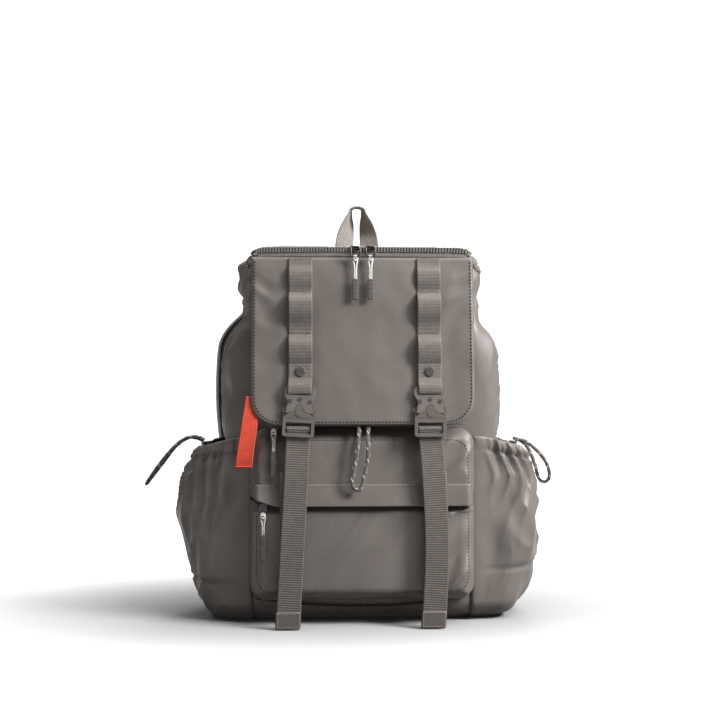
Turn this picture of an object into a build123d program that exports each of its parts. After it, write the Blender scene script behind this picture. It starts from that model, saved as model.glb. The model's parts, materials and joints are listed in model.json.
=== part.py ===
from build123d import *
import math
import os

# A top-loading daypack, in millimetres. +Z is up, the front faces -Y, and +X is on the right of a
# viewer who looks at the front. The origin is the centre of the base's underside.

# ---- driving dimensions ----
GAP = 0.3                   # clearance between neighbouring pieces that move apart
CLOTH = 2.4                 # thickness of a lined fabric panel
WEBBING = 1.4               # thickness of the 25 mm webbing
WEBBING_W = 25.0
BODY_H = 396.0              # top of the body panels
BODY_D = 140.0
TOP_HALF = 126.0            # half width at the top
WAIST_HALF = 150.0          # half width at the gusset's fullest height
WAIST_Z = 245.0
LOW_HALF = 128.0            # half width under the side pockets
FRONT_Y = -BODY_D / 2
BACK_Y = BODY_D / 2

FLAP_TILT = 6.0             # the flap leans over the front pocket by this much
FLAP_L = 178.5
FLAP_HALF = 118.0
FLAP_CORNER = 29.0
FLAP_HINGE_Y, FLAP_HINGE_Z = -73.5, 389.5

POCKET_HALF = 120.0
POCKET_TOP, POCKET_LOW = 204.0, 26.0
POCKET_FACE_Y = -92.0
STORM_TOP, STORM_LOW = 147.0, 127.0

SIDE_POCKET_H = 186.0
SIDE_POCKET_OUT = 199.0     # how far the side pockets bulge, from the middle
SIDE_WALL = 3.0

STRAP_X = {"left": -66.0, "right": 70.0}      # the two closing straps
BUCKLE_V = -163.0           # buckle centre, measured down the flap
BUCKLE_HALF_W = 16.5
SLOT_UP = 17.7              # the upper strap's slot, above the buckle's centre
BAR_V = -182.6              # the bar that the lower strap hangs from
RELEASE = 12.0              # travel that frees the lower buckle half

SLIDER_X = 8.0
PULL_Y, PULL_Z = -76.5, 398.6                 # swing axis of the top zip pulls
HANDLE_TOP = 461.0

os.makedirs("parts", exist_ok=True)

# The flap's own plane: x across, y up along the flap, z outward; its origin is the hinge line.
tilt = math.radians(FLAP_TILT)
OUTWARD = Vector(0, -math.cos(tilt), math.sin(tilt))
FLAP_PLANE = Plane(origin=(0, FLAP_HINGE_Y, FLAP_HINGE_Z), x_dir=(1, 0, 0), z_dir=OUTWARD)


def save(work, name):
    """Labels a finished piece and writes its STEP file."""
    work.part.label = name
    export_step(work.part, f"parts/{name}.step")


def side_of(name):
    return -1 if name == "left" else 1


# ---- cords ----
def bend_radii(route):
    """0.45 of the shorter run beside each corner, divided by the tangent of half the turn."""
    points = [Vector(*p) for p in route]
    radii = []
    for a, b, c in zip(points, points[1:], points[2:]):
        turn = (b - a).get_angle(c - b)
        shorter = min((b - a).length, (c - b).length)
        radii.append(0.45 * shorter / math.tan(math.radians(turn) / 2))
    return radii


def cord(name, route, diameter):
    """A cord as a tube of straight runs joined by tangent arcs."""
    radii = bend_radii(route)
    with BuildPart() as tube:
        with BuildLine() as line:
            FilletPolyline(*route, radius=radii)
        with BuildSketch(Plane(origin=line.line @ 0, z_dir=line.line % 0)):
            Circle(diameter / 2)
        sweep()
    length = sum(edge.length for edge in line.edges())
    ratio = tube.part.volume / (math.pi * diameter ** 2 / 4 * length)
    print(f"{name}: {length:.0f} mm long, radii {[round(r, 1) for r in radii]}, volume {ratio:.3f}")
    save(tube, name)


# ---- main body ----
def body_outline(y, inset=0.0):
    """Front outline of the body: nearly straight up from the base, full at the gussets, narrow on top."""
    low, waist, top = LOW_HALF - inset, WAIST_HALF - inset, TOP_HALF - inset
    with BuildSketch(Plane.XZ.offset(-y)) as outline:
        with BuildLine():
            Polyline((-low, CLOTH), (low, CLOTH), (low, 120))
            Spline((low, 120), (waist, WAIST_Z), (top, BODY_H), tangents=((0, 1), (-0.35, 1)))
            Line((top, BODY_H), (-top, BODY_H))
            Spline((-top, BODY_H), (-waist, WAIST_Z), (-low, 120), tangents=((-0.35, -1), (0, -1)))
            Line((-low, 120), (-low, CLOTH))
        make_face()
    return outline.sketch


with BuildPart() as body_block:
    extrude(body_outline(BACK_Y), amount=BODY_D)

for panel, y_front in (("front_panel", FRONT_Y), ("back_panel", BACK_Y - CLOTH)):
    with BuildPart() as plate:
        extrude(body_outline(y_front + CLOTH), amount=CLOTH)
    save(plate, panel)

for side in ("left", "right"):
    with BuildPart() as gusset:
        extrude(body_outline(BACK_Y - CLOTH), amount=BODY_D - 2 * CLOTH)
        extrude(body_outline(BACK_Y, CLOTH), amount=BODY_D, mode=Mode.SUBTRACT)
        keep_low = Pos(side_of(side) * WAIST_HALF, 0, BODY_H / 2) * Box(
            2 * (WAIST_HALF - 100), BODY_D, 2 * BODY_H, mode=Mode.PRIVATE)
        add(keep_low, mode=Mode.INTERSECT)
        split(bisect_by=Plane.XY.offset(2 * CLOTH), keep=Keep.TOP)
        split(bisect_by=Plane.XY.offset(BODY_H - CLOTH), keep=Keep.BOTTOM)
    save(gusset, f"side_panel_{side}")

BASE_FRONT, BASE_BACK = -52.0, 60.0
with BuildPart() as base_panel:
    with BuildSketch():
        with Locations((0, (BASE_FRONT + BASE_BACK) / 2)):
            RectangleRounded(2 * LOW_HALF - 8, BASE_BACK - BASE_FRONT, 22)
    extrude(amount=CLOTH)
save(base_panel, "base_panel")

with BuildPart() as base_board:
    with BuildSketch(Plane.XY.offset(2 * CLOTH)):
        RectangleRounded(2 * (LOW_HALF - CLOTH) - 6, BODY_D - 2 * CLOTH - 4, 18)
    extrude(amount=2.0)
save(base_board, "base_board")

with BuildPart() as floor_lining:
    with BuildSketch(Plane.XY.offset(CLOTH)):
        Rectangle(2 * LOW_HALF - 2, BODY_D - 2 * CLOTH)
    extrude(amount=CLOTH)
save(floor_lining, "floor_lining")

PAD_LOW, PAD_TOP = 62.0, 330.0
with BuildPart() as back_padding:
    with BuildSketch(Plane.XZ.offset(-BACK_Y - 9)):
        with Locations((0, (PAD_LOW + PAD_TOP) / 2)):
            RectangleRounded(190, PAD_TOP - PAD_LOW, 24)
    extrude(amount=9)
    fillet(back_padding.faces().sort_by(Axis.Y)[-1].edges(), 4)
save(back_padding, "back_padding")

# ---- lid and its zip ----
LID_Z = BODY_H + 3.4
LID_BACK = 64.0
with BuildPart() as lid:
    with BuildSketch(Plane.XY.offset(LID_Z)):
        with Locations((0, (FRONT_Y + LID_BACK) / 2)):
            RectangleRounded(2 * TOP_HALF - 4, LID_BACK - FRONT_Y, 16)
    extrude(amount=CLOTH)
save(lid, "lid")

ZIP_HALF = 112.0
with BuildPart() as lid_zip:
    with BuildSketch(Plane.XY.offset(LID_Z - 1.6)):
        with Locations((0, FRONT_Y + 2.5)):
            Rectangle(2 * ZIP_HALF, 5)
    extrude(amount=1.6)
save(lid_zip, "lid_zip_teeth")

with BuildPart() as body_zip:
    with BuildSketch(Plane.XY.offset(BODY_H)):
        with Locations((0, FRONT_Y + 2.5)):
            Rectangle(2 * ZIP_HALF, 5)
    extrude(amount=1.5)
save(body_zip, "body_zip_teeth")

with BuildPart() as zip_tape:
    with BuildSketch(Plane.XZ.offset(-FRONT_Y)):
        with Locations((0, BODY_H - 3)):
            Rectangle(2 * ZIP_HALF + 6, 6)
        for sign in (-1, 1):
            with Locations((sign * (TOP_HALF - 3), BODY_H - 20)):
                Rectangle(5, 34)
    extrude(amount=1.0)
save(zip_tape, "body_zip_tape")

# ---- front pockets, closed by their zips ----
def pocket_block(name, profile, half, corner):
    """A zipped pocket seen from the side, as wide as the front panel; its outer corners are rounded."""
    with BuildPart() as pocket:
        with BuildSketch(Plane.YZ.offset(-half)):
            with BuildLine():
                Polyline(*profile, close=True)
            make_face()
        extrude(amount=2 * half)
        fillet(pocket.edges().filter_by(Axis.Z).group_by(Axis.Y)[0], corner)
    save(pocket, name)


UPPER_LOW = 121.0
pocket_block("front_pocket_upper", [
    (FRONT_Y, UPPER_LOW + 5), (FRONT_Y, POCKET_TOP + 4), (-80, POCKET_TOP), (-86.5, POCKET_TOP - 10),
    (POCKET_FACE_Y, STORM_TOP + 4), (POCKET_FACE_Y, UPPER_LOW + 5)], POCKET_HALF, 12)
pocket_block("front_pocket_lower", [
    (FRONT_Y, POCKET_LOW), (FRONT_Y, UPPER_LOW), (POCKET_FACE_Y, UPPER_LOW), (POCKET_FACE_Y, 46),
    (-84, POCKET_LOW)], POCKET_HALF, 12)

with BuildPart() as pocket_zips:
    with BuildSketch(Plane.XZ.offset(78)):
        with Locations((0, UPPER_LOW + 2.5)):
            Rectangle(2 * POCKET_HALF - 24, 5)
    extrude(amount=-POCKET_FACE_Y - 78)
    with BuildSketch(Plane.XZ.offset(-FRONT_Y)):
        with Locations((0, POCKET_TOP + 11)):
            Rectangle(2 * POCKET_HALF - 24, 5)
    extrude(amount=7.8)
save(pocket_zips, "pocket_zips")

STORM_LEFT, STORM_RIGHT = -97.0, 114.0
with BuildPart() as storm_flap:
    with BuildSketch(Plane.YZ.offset(STORM_LEFT)):
        with BuildLine():
            Polyline((POCKET_FACE_Y, STORM_TOP), (POCKET_FACE_Y - 1.8, STORM_TOP),
                     (POCKET_FACE_Y - 5.4, STORM_LOW + 8), (POCKET_FACE_Y - 5.4, STORM_LOW),
                     (POCKET_FACE_Y - 3.8, STORM_LOW), (POCKET_FACE_Y - 3.8, STORM_LOW + 8),
                     (POCKET_FACE_Y, STORM_TOP - 4), close=True)
        make_face()
    extrude(amount=STORM_RIGHT - STORM_LEFT)
save(storm_flap, "pocket_storm_flap")

# ---- side pockets: open cups of gathered fabric ----
POCKET_FRONT_Y, POCKET_BACK_Y = -68.0, 58.0


def pocket_section(side, z, out, wall):
    """One level of the side pocket: an arc from the front seam round to the back seam."""
    sign = side_of(side)
    inner_x = sign * (LOW_HALF - 20)
    with BuildSketch(Plane.XY.offset(z)) as level:
        with BuildLine():
            ThreePointArc((sign * (LOW_HALF - 1), POCKET_FRONT_Y + wall), (sign * (out - wall), -4),
                          (sign * (LOW_HALF - 1), POCKET_BACK_Y - wall))
            Polyline((sign * (LOW_HALF - 1), POCKET_BACK_Y - wall), (inner_x, POCKET_BACK_Y - wall),
                     (inner_x, POCKET_FRONT_Y + wall), (sign * (LOW_HALF - 1), POCKET_FRONT_Y + wall))
        make_face()
    return level.sketch


POCKET_LEVELS = ((2.0, 166.0), (60.0, 192.0), (118.0, SIDE_POCKET_OUT), (SIDE_POCKET_H, 176.0))
for side in ("left", "right"):
    with BuildPart() as side_pocket:
        loft([pocket_section(side, z, out, 0) for z, out in POCKET_LEVELS])
        loft([pocket_section(side, z + (SIDE_WALL if z < 10 else 0), out, SIDE_WALL)
              for z, out in POCKET_LEVELS], mode=Mode.SUBTRACT)
        add(body_block.part, mode=Mode.SUBTRACT)
        with BuildSketch():
            Rectangle(2 * LOW_HALF, BODY_D)
        extrude(amount=2 * CLOTH, mode=Mode.SUBTRACT)
    save(side_pocket, f"side_pocket_{side}")

# ---- eyelets that the cords leave through ----
EYELET_R = 4.2
SIDE_EYE = {"left": (-177.0, -4.0, 186.6), "right": (177.0, -4.0, 186.6)}
EYE_SPREAD = 8.0
with BuildPart() as eyelets:
    for side in ("left", "right"):
        x, y, z = SIDE_EYE[side]
        for dy in (-EYE_SPREAD, EYE_SPREAD):
            with Locations((x - side_of(side) * 4.0, y + dy, z + 1.4)):
                Cylinder(EYELET_R - 1.2, 2.4)
    with Locations(Location((0, FRONT_Y - 0.9, 222), (90, 0, 0))):
        with Locations((-5, 0), (5, 0)):
            Cylinder(EYELET_R - 0.6, 1.8)
save(eyelets, "cord_eyelets")

# ---- free cords ----
SIDE_CORD_D, CENTRE_CORD_D = 3.8, 4.0
LEFT_CORD = [(-174, -12, 191), (-182, -13, 196), (-196, -15, 193.5), (-211, -17, 179), (-225, -16, 161),
             (-236, -10, 145), (-238.5, 2, 141), (-233, 12, 149), (-220, 15, 166), (-207, 13, 184),
             (-193, 8, 193.5), (-181, 5, 195), (-174, 4, 191)]
RIGHT_CORD = [(174, -12, 191), (183, -14, 192), (194, -16, 183), (205, -17, 172), (212, -15, 158),
              (213, -12, 147), (206.5, -10, 142.5), (200.5, -8, 148), (198.5, -4, 161), (193.5, 0.5, 177),
              (185, 3, 189.5), (174, 4, 192.5)]
CENTRE_CORD = [(-5, -72, 222), (-5.5, -80, 219.5), (-5, -88, 212), (-4.5, -94.5, 203), (-6, -98, 191),
               (-8, -99.5, 176), (-10.8, -100.5, 162), (-12.6, -101, 151), (-9.4, -101, 144.8),
               (-3.9, -101, 144.9), (-1.2, -101, 150.8), (0.6, -100.8, 160), (3.2, -100.2, 171),
               (5, -99.5, 183), (4.5, -97, 196), (5, -91, 207.5), (5.5, -82, 217.5), (5, -72, 222)]
cord("side_cord_left", LEFT_CORD, SIDE_CORD_D)
cord("side_cord_right", RIGHT_CORD, SIDE_CORD_D)
cord("centre_cord", CENTRE_CORD, CENTRE_CORD_D)

# ---- the main flap and what rides on it ----
with BuildPart() as flap:
    with BuildSketch(FLAP_PLANE):
        with Locations((0, -FLAP_L / 2)):
            outline = Rectangle(2 * FLAP_HALF, FLAP_L)
        fillet(outline.vertices().sort_by(Axis.Y)[:2], FLAP_CORNER)
    extrude(amount=CLOTH)
save(flap, "main_flap")


def strip(plane, path, width, thickness, name):
    """A strap: its path in the given plane, given thickness, then extruded half the width each way."""
    with BuildPart() as strap:
        with BuildSketch(plane):
            with BuildLine():
                FilletPolyline(*path, radius=0.9 + thickness / 2)
                offset(amount=thickness / 2, side=Side.BOTH)
            make_face()
        extrude(amount=width / 2, both=True)
    save(strap, name)


def strap_plane(x, lean):
    """Upright plane across a strap: x runs outward from the flap, y runs up along it."""
    up = FLAP_PLANE.y_dir * math.cos(lean) + Vector(1, 0, 0) * math.sin(lean)
    side_normal = up.cross(OUTWARD) * -1
    return Plane(origin=FLAP_PLANE.from_local_coords((x, 0, 0)), x_dir=OUTWARD, z_dir=side_normal)


SLOT_BAR_V = BUCKLE_V + 21.0
PLATE_W0, PLATE_W1 = 6.6, 8.4       # the upper plate lies between these heights off the flap
DAISY_PATH = [(3.2, -3.0), (3.2, SLOT_BAR_V + 12), (5.6, SLOT_BAR_V + 5), (5.6, SLOT_BAR_V - 3.4),
              (9.6, SLOT_BAR_V - 3.4), (9.6, SLOT_BAR_V + 4.5), (5.2, SLOT_BAR_V + 13),
              (5.2, SLOT_BAR_V + 28)]
BUCKLE_LEAN = {"left": math.radians(3.4), "right": 0.0}
for side in ("left", "right"):
    strip(strap_plane(STRAP_X[side], 0), DAISY_PATH, WEBBING_W, WEBBING, f"upper_strap_{side}")

SNAP_V = SLOT_BAR_V + 19.5
with BuildPart() as snaps:
    with BuildSketch(FLAP_PLANE.offset(5.95)):
        with Locations(*[(x, SNAP_V) for x in STRAP_X.values()]):
            Circle(5)
    extrude(amount=1.6)
    fillet(snaps.faces().filter_by(Axis((0, 0, 0), tuple(OUTWARD))).group_by(
        Axis((0, 0, 0), tuple(OUTWARD)))[-1].edges(), 0.7)
save(snaps, "snap_buttons")


def buckle_plane(side, off):
    """The plane of one buckle, at a height off the flap: it hangs from its slot, leaning with its strap."""
    lean = BUCKLE_LEAN[side]
    across = Vector(1, 0, 0) * math.cos(lean) - FLAP_PLANE.y_dir * math.sin(lean)
    up = Vector(1, 0, 0) * math.sin(lean) + FLAP_PLANE.y_dir * math.cos(lean)
    slot = FLAP_PLANE.from_local_coords(Vector(STRAP_X[side], BUCKLE_V + SLOT_UP, off))
    return Plane(origin=slot - up * SLOT_UP, x_dir=across, z_dir=OUTWARD)


BAR_W, BAR_R = 6.4, 1.5
BAR_DOWN = BAR_V - BUCKLE_V           # the bar, from the buckle's centre
CLIP_PIVOT = (10.6, 9.0)
TONGUE_TOP = 6.5
ARM = 3.2                             # width of the frame's side arms
WINDOW_TOP, WINDOW_LOW, FRAME_LOW = -13.2, -25.0, -28.0
RING_W0, RING_W1 = 8.4, 10.4          # the front crossbar passes in front of the webbing


def bell(inset):
    """Outline of the upper plate's notch, or of the tongue inside it, from its left foot to its right."""
    foot, neck = 8.2 - inset, 4.2 - inset
    Polyline((-foot, -2.6 - inset), (-neck - 1.2, -1.2 - inset), (-neck, 2.2))
    ThreePointArc((-neck, 2.2), (0, 5.9 - inset), (neck, 2.2))
    Polyline((neck, 2.2), (neck + 1.2, -1.2 - inset), (foot, -2.6 - inset))


for side in ("left", "right"):
    # upper half: a waisted plate with the strap's slot, two horns and a notch that shows the tongue
    with BuildPart() as plate:
        with BuildSketch(buckle_plane(side, PLATE_W0)):
            with BuildLine():
                Polyline((-8.2, -2.6), (-8.2, -3), (-14.4, -3), (-13.6, 1.5), (-12.6, 6), (-13.4, 10.5),
                         (-16.4, 15.5), (-16.4, 21), (-14.9, 24.2), (-13.2, 23.5), (13.2, 23.5),
                         (14.9, 24.2), (16.4, 21), (16.4, 15.5), (13.4, 10.5), (12.6, 6), (13.6, 1.5),
                         (14.4, -3), (8.2, -3), (8.2, -2.6))
                bell(0)
            make_face()
            with Locations((0, SLOT_UP)):
                Rectangle(26, 4.4, mode=Mode.SUBTRACT)
        extrude(amount=PLATE_W1 - PLATE_W0)
    save(plate, f"buckle_plate_{side}")

    # lower half: a shouldered frame round the bar's window, and a tongue that enters behind the plate
    with BuildPart() as lower:
        with BuildSketch(buckle_plane(side, 4.0)):
            with Locations((0, (WINDOW_TOP - 3.5) / 2)):
                Rectangle(2 * BUCKLE_HALF_W, -3.5 - WINDOW_TOP)
            with Locations((0, -5 + (TONGUE_TOP + 5) / 2)):
                Rectangle(12, TONGUE_TOP + 5)
        extrude(amount=2.2)
        with BuildSketch(buckle_plane(side, 6.2)):
            with BuildLine():
                Polyline((-7.7, -3.1), (-11.5, -4.0), (-BUCKLE_HALF_W, -8.5),
                         (-BUCKLE_HALF_W, WINDOW_TOP), (BUCKLE_HALF_W, WINDOW_TOP), (BUCKLE_HALF_W, -8.5),
                         (11.5, -4.0), (7.7, -3.1))
                bell(0.5)
            make_face()
        extrude(amount=2.4)
        with BuildSketch(buckle_plane(side, 8.6)):
            with Locations((0, -3.6)):
                Circle(3.2)
        extrude(amount=0.7)
        with BuildSketch(buckle_plane(side, 4.0)):
            for sign in (-1, 1):
                with Locations((sign * (BUCKLE_HALF_W - ARM / 2), (WINDOW_TOP + 1 + WINDOW_LOW) / 2)):
                    Rectangle(ARM, WINDOW_TOP + 1 - WINDOW_LOW)
        extrude(amount=RING_W1 - 4.4)
        with BuildSketch(buckle_plane(side, RING_W0)):
            with Locations((0, (WINDOW_TOP + ARM + FRAME_LOW) / 2)):
                RectangleRounded(2 * BUCKLE_HALF_W, WINDOW_TOP + ARM - FRAME_LOW, 2.6)
            with Locations((0, (WINDOW_TOP + WINDOW_LOW) / 2)):
                RectangleRounded(2 * (BUCKLE_HALF_W - ARM), WINDOW_TOP - WINDOW_LOW, 0.8,
                                 mode=Mode.SUBTRACT)
        extrude(amount=RING_W1 - RING_W0)
        mid = buckle_plane(side, BAR_W)
        with BuildSketch(Plane(origin=mid.from_local_coords((-20, BAR_DOWN, 0)), z_dir=mid.x_dir)):
            Circle(BAR_R)
        extrude(amount=40, mode=Mode.SUBTRACT)
    save(lower, f"buckle_frame_{side}")

    with BuildPart() as bar:
        with BuildSketch(Plane(origin=mid.from_local_coords((-BUCKLE_HALF_W, BAR_DOWN, 0)),
                               z_dir=mid.x_dir)):
            Circle(BAR_R)
        extrude(amount=2 * BUCKLE_HALF_W)
    save(bar, f"buckle_bar_{side}")

    # sprung side clips, pivoting on the rivets behind the plate
    for edge, sign in (("outer", side_of(side)), ("inner", -side_of(side))):
        with BuildPart() as clip:
            with BuildSketch(buckle_plane(side, 4.0)):
                with BuildLine():
                    Polyline((sign * 8.0, 12.5), (sign * 12.6, 12.5), (sign * 13.4, 5), (sign * 17.6, 0.5),
                             (sign * 17.6, -2.6), (sign * 10.5, -2.6), (sign * 8.0, 5), (sign * 8.0, 12.5))
                make_face()
                with Locations((sign * CLIP_PIVOT[0], CLIP_PIVOT[1])):
                    Circle(1.3, mode=Mode.SUBTRACT)
            extrude(amount=2.2)
        save(clip, f"buckle_clip_{side}_{edge}")

with BuildPart() as rivets:
    for side in ("left", "right"):
        with BuildSketch(buckle_plane(side, 4.0)):
            with Locations((-CLIP_PIVOT[0], CLIP_PIVOT[1]), CLIP_PIVOT):
                Circle(1.25)
        extrude(amount=PLATE_W0 - 4.0)
        with BuildSketch(buckle_plane(side, PLATE_W1)):
            with Locations((-CLIP_PIVOT[0], CLIP_PIVOT[1]), CLIP_PIVOT, (0, 11)):
                Circle(1.9)
        extrude(amount=0.7)
save(rivets, "buckle_rivets")

# ---- lower straps: a tail hanging from each bar, and the anchor run sewn to the pocket ----
BAR_POINT = {s: buckle_plane(s, BAR_W).from_local_coords((0, BAR_DOWN, 0)) for s in STRAP_X}
TAIL_FOOT = {"left": -79.0, "right": 73.0}
WRAP = BAR_R + WEBBING / 2 + 0.15     # webbing centre line round the bar
for side in ("left", "right"):
    bar_point = BAR_POINT[side]
    lean = (TAIL_FOOT[side] - bar_point.X) / bar_point.Z
    tail_plane = Plane(origin=(bar_point.X, bar_point.Y, bar_point.Z), x_dir=(0, -1, 0),
                       z_dir=(-1, 0, -lean))
    foot = -(bar_point.Z - 0.9) * math.hypot(1, lean)
    tail = [(-WRAP, -3), (-WRAP, WRAP + 0.2), (WRAP, WRAP + 0.2), (WRAP, -1.5), (0.9, -5.0), (0.9, -14),
            (3.0, -34), (WRAP + 4.0, -115), (WRAP + 5.1, foot)]
    strip(tail_plane, tail, WEBBING_W, WEBBING, f"lower_strap_{side}")

ANCHOR_TOP, ANCHOR_Y = 163.0, -99.5
ANCHOR_SEWN = (32.0, 48.0)            # the stretch that is sewn to the pocket's face
with BuildPart() as anchors:
    sewn = POCKET_FACE_Y - WEBBING / 2 - 0.05
    for side in ("left", "right"):
        foot_x = TAIL_FOOT[side] + 3
        with BuildSketch(Plane.YZ.offset(foot_x)):
            with BuildLine():
                FilletPolyline((sewn, ANCHOR_SEWN[0]), (sewn, ANCHOR_SEWN[1]),
                               (ANCHOR_Y, ANCHOR_SEWN[1] + 18), (ANCHOR_Y, ANCHOR_TOP), radius=6)
                offset(amount=WEBBING / 2, side=Side.BOTH)
            make_face()
        extrude(amount=WEBBING_W / 2 - 1, both=True)
save(anchors, "anchor_webbings")

# ---- top zip sliders and their pulls ----
PULL_PLANE = Plane(origin=(0, PULL_Y, PULL_Z), x_dir=(1, 0, 0), z_dir=OUTWARD)
PULL_CORD_D = 1.7
TAB_W, TAB_T = 6.4, 2.6
for side in ("left", "right"):
    x = side_of(side) * SLIDER_X
    with BuildPart() as slider:
        with BuildSketch(Plane.XY.offset(397.2)):
            with Locations((x, FRONT_Y - 3.3)):
                RectangleRounded(9, 6, 1.6)
        extrude(amount=4.6)
        with BuildSketch(Plane.YZ.offset(x - 5)):
            with Locations((PULL_Y, PULL_Z)):
                Circle(1.9)
        extrude(amount=10, mode=Mode.SUBTRACT)
        for sign in (-1, 1):
            with BuildSketch(Plane.YZ.offset(x + sign * 3.9 - 0.5)):
                with Locations((PULL_Y + 0.6, PULL_Z)):
                    Rectangle(3.2, 2.2)
                with Locations((PULL_Y, PULL_Z)):
                    Circle(0.75, mode=Mode.SUBTRACT)
            extrude(amount=1)
    save(slider, f"top_slider_{side}")

    with BuildPart() as pull:
        with BuildSketch(Plane.YZ.offset(x - 3.2)):
            with Locations((PULL_Y, PULL_Z)):
                Circle(1.1)
        extrude(amount=6.4)
        with BuildSketch(PULL_PLANE.offset(0.2)):
            with Locations((x, -7.2)):
                RectangleRounded(5.6, 13.4, 1.4)
        extrude(amount=1.6)
        with BuildSketch(PULL_PLANE.offset(1.8)):
            with Locations((x, -11)):
                Rectangle(3.0, 2.4)
        extrude(amount=2.4)
        with BuildSketch(PULL_PLANE.offset(3.4)):
            with Locations((x, -44.5)):
                RectangleRounded(TAB_W, 22, 1.2)
        extrude(amount=TAB_T)
    save(pull, f"top_pull_tab_{side}")

    loop = [(-1.5, -33.5), (-2.4, -27), (-2.6, -17), (-1.7, -8.6), (1.7, -8.6), (2.6, -17), (2.4, -27),
            (1.5, -33.5)]
    route = [tuple(PULL_PLANE.from_local_coords((x + u, v, 4.6))) for u, v in loop]
    cord(f"top_pull_cord_{side}", route, PULL_CORD_D)

# ---- pocket sliders and their pulls ----
POCKET_SLIDERS = {"upper": (-94.0, 213.0, -78.0), "lower": (-105.0, 125.6, POCKET_FACE_Y - 0.2)}
PULL_DROP = {"upper": 27.0, "lower": 26.0}
for level, (x, z, back) in POCKET_SLIDERS.items():
    with BuildPart() as slider:
        with BuildSketch(Plane.XZ.offset(-back)):
            with Locations((x, z)):
                RectangleRounded(8, 9, 1.6)
        extrude(amount=2.2)
        with BuildSketch(Plane.XZ.offset(-back + 2.2)):
            with Locations((x, z - 2)):
                Circle(1.0)
        extrude(amount=0.9 if level == "lower" else 7.6)
    save(slider, f"pocket_slider_{level}")

    layer = back - (3.6 if level == "lower" else 12.4)
    hang = Plane(origin=(x, layer, z - 2), x_dir=(1, 0, 0),
                 z_dir=(0, -1, 0.08 if level == "upper" else 0))
    top = -PULL_DROP[level]
    with BuildPart() as pull:
        with BuildSketch(hang.offset(-0.8)):
            with Locations((0, top - 13)):
                RectangleRounded(TAB_W, 27, 1.2)
        extrude(amount=2.4)
        with BuildSketch(hang.offset(0.2)):
            Circle(2.2)
            Circle(1.25, mode=Mode.SUBTRACT)
        extrude(amount=1.2)
    save(pull, f"pocket_pull_tab_{level}")

    loop = [(-1.5, top + 0.5), (-2.3, top + 6), (-2.6, -13), (-1.7, -3.6), (1.7, -3.6), (2.6, -13),
            (2.3, top + 6), (1.5, top + 0.5)]
    cord(f"pocket_pull_cord_{level}", [tuple(hang.from_local_coords((u, v, 0.6))) for u, v in loop],
         PULL_CORD_D)

# ---- ribbon tag beside the front pocket ----
TAG_PLANE = Plane(origin=(-115, -85.6, 246), x_dir=(1, 0, 0), z_dir=(0, -1, 0.075))
with BuildPart() as tag:
    with BuildSketch(TAG_PLANE):
        with BuildLine():
            Polyline((-8, -4), (8, -4), (-1.5, -79), (-19.5, -76), close=True)
        make_face()
    extrude(amount=2.4)
save(tag, "ribbon_tag")

# ---- haul handle, at the top of the back ----
HANDLE_Y = 72.2
with BuildPart() as handle:
    with BuildSketch(Plane.XZ.offset(-HANDLE_Y - 3)):
        with BuildLine():
            Polyline((-27, 400), (-8, HANDLE_TOP - 3), (-5, HANDLE_TOP), (5, HANDLE_TOP),
                     (8, HANDLE_TOP - 3), (25, 400), (3, 400), (0, 425), (-2, 400), close=True)
        make_face()
    extrude(amount=3)
    with BuildSketch(Plane.XZ.offset(-HANDLE_Y - 24)):
        with BuildLine():
            Polyline((-9, 430), (9, 430), (7, 452), (-7, 452), close=True)
        make_face()
    extrude(amount=26, mode=Mode.SUBTRACT)
save(handle, "haul_handle")

# ---- shoulder straps ----
STRAP_T = 11.0
STRAP_Y = 73.5
STRAP_TOP, STRAP_LOW = 415.0, 97.0
for side in ("left", "right"):
    sign = side_of(side)
    with BuildPart() as strap:
        with BuildSketch(Plane.YZ.offset(sign * 20)):
            with BuildLine():
                ThreePointArc((STRAP_Y, STRAP_TOP), (STRAP_Y + 31, 262), (STRAP_Y + 10, STRAP_LOW))
                Line((STRAP_Y + 10, STRAP_LOW), (STRAP_Y + 10 + STRAP_T, STRAP_LOW))
                ThreePointArc((STRAP_Y + 10 + STRAP_T, STRAP_LOW), (STRAP_Y + 31 + STRAP_T, 262),
                              (STRAP_Y + STRAP_T, STRAP_TOP))
                Line((STRAP_Y + STRAP_T, STRAP_TOP), (STRAP_Y, STRAP_TOP))
            make_face()
        extrude(amount=sign * 150)
        with BuildSketch(Plane.XZ.offset(-140)):
            with BuildLine():
                ThreePointArc((sign * 96, STRAP_TOP + 1), (sign * 160, 262), (sign * 147, STRAP_LOW - 1))
                Line((sign * 147, STRAP_LOW - 1), (sign * 118, STRAP_LOW - 1))
                ThreePointArc((sign * 118, STRAP_LOW - 1), (sign * 97, 240), (sign * 30, STRAP_TOP + 1))
                Line((sign * 30, STRAP_TOP + 1), (sign * 96, STRAP_TOP + 1))
            make_face()
        extrude(amount=80, mode=Mode.INTERSECT)
    save(strap, f"shoulder_strap_{side}")

    with BuildPart() as lock:
        with BuildSketch(Plane.XZ.offset(-92)):
            with Locations((sign * 132, 84)):
                RectangleRounded(34, 22, 3)
                Rectangle(26, 4, mode=Mode.SUBTRACT)
        extrude(amount=4)
    save(lock, f"ladder_lock_{side}")

    with BuildPart() as webbing:
        with BuildSketch(Plane.YZ.offset(sign * 132)):
            with BuildLine():
                FilletPolyline((93.4, 95), (93.4, 70), (74, 34), radius=5)
                offset(amount=WEBBING / 2, side=Side.BOTH)
            make_face()
        extrude(amount=WEBBING_W / 2 - 2, both=True)
    save(webbing, f"strap_webbing_{side}")
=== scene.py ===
import json
from math import cos, hypot, pi, radians, sin

import bpy
import numpy as np
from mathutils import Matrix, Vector, noise


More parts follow.
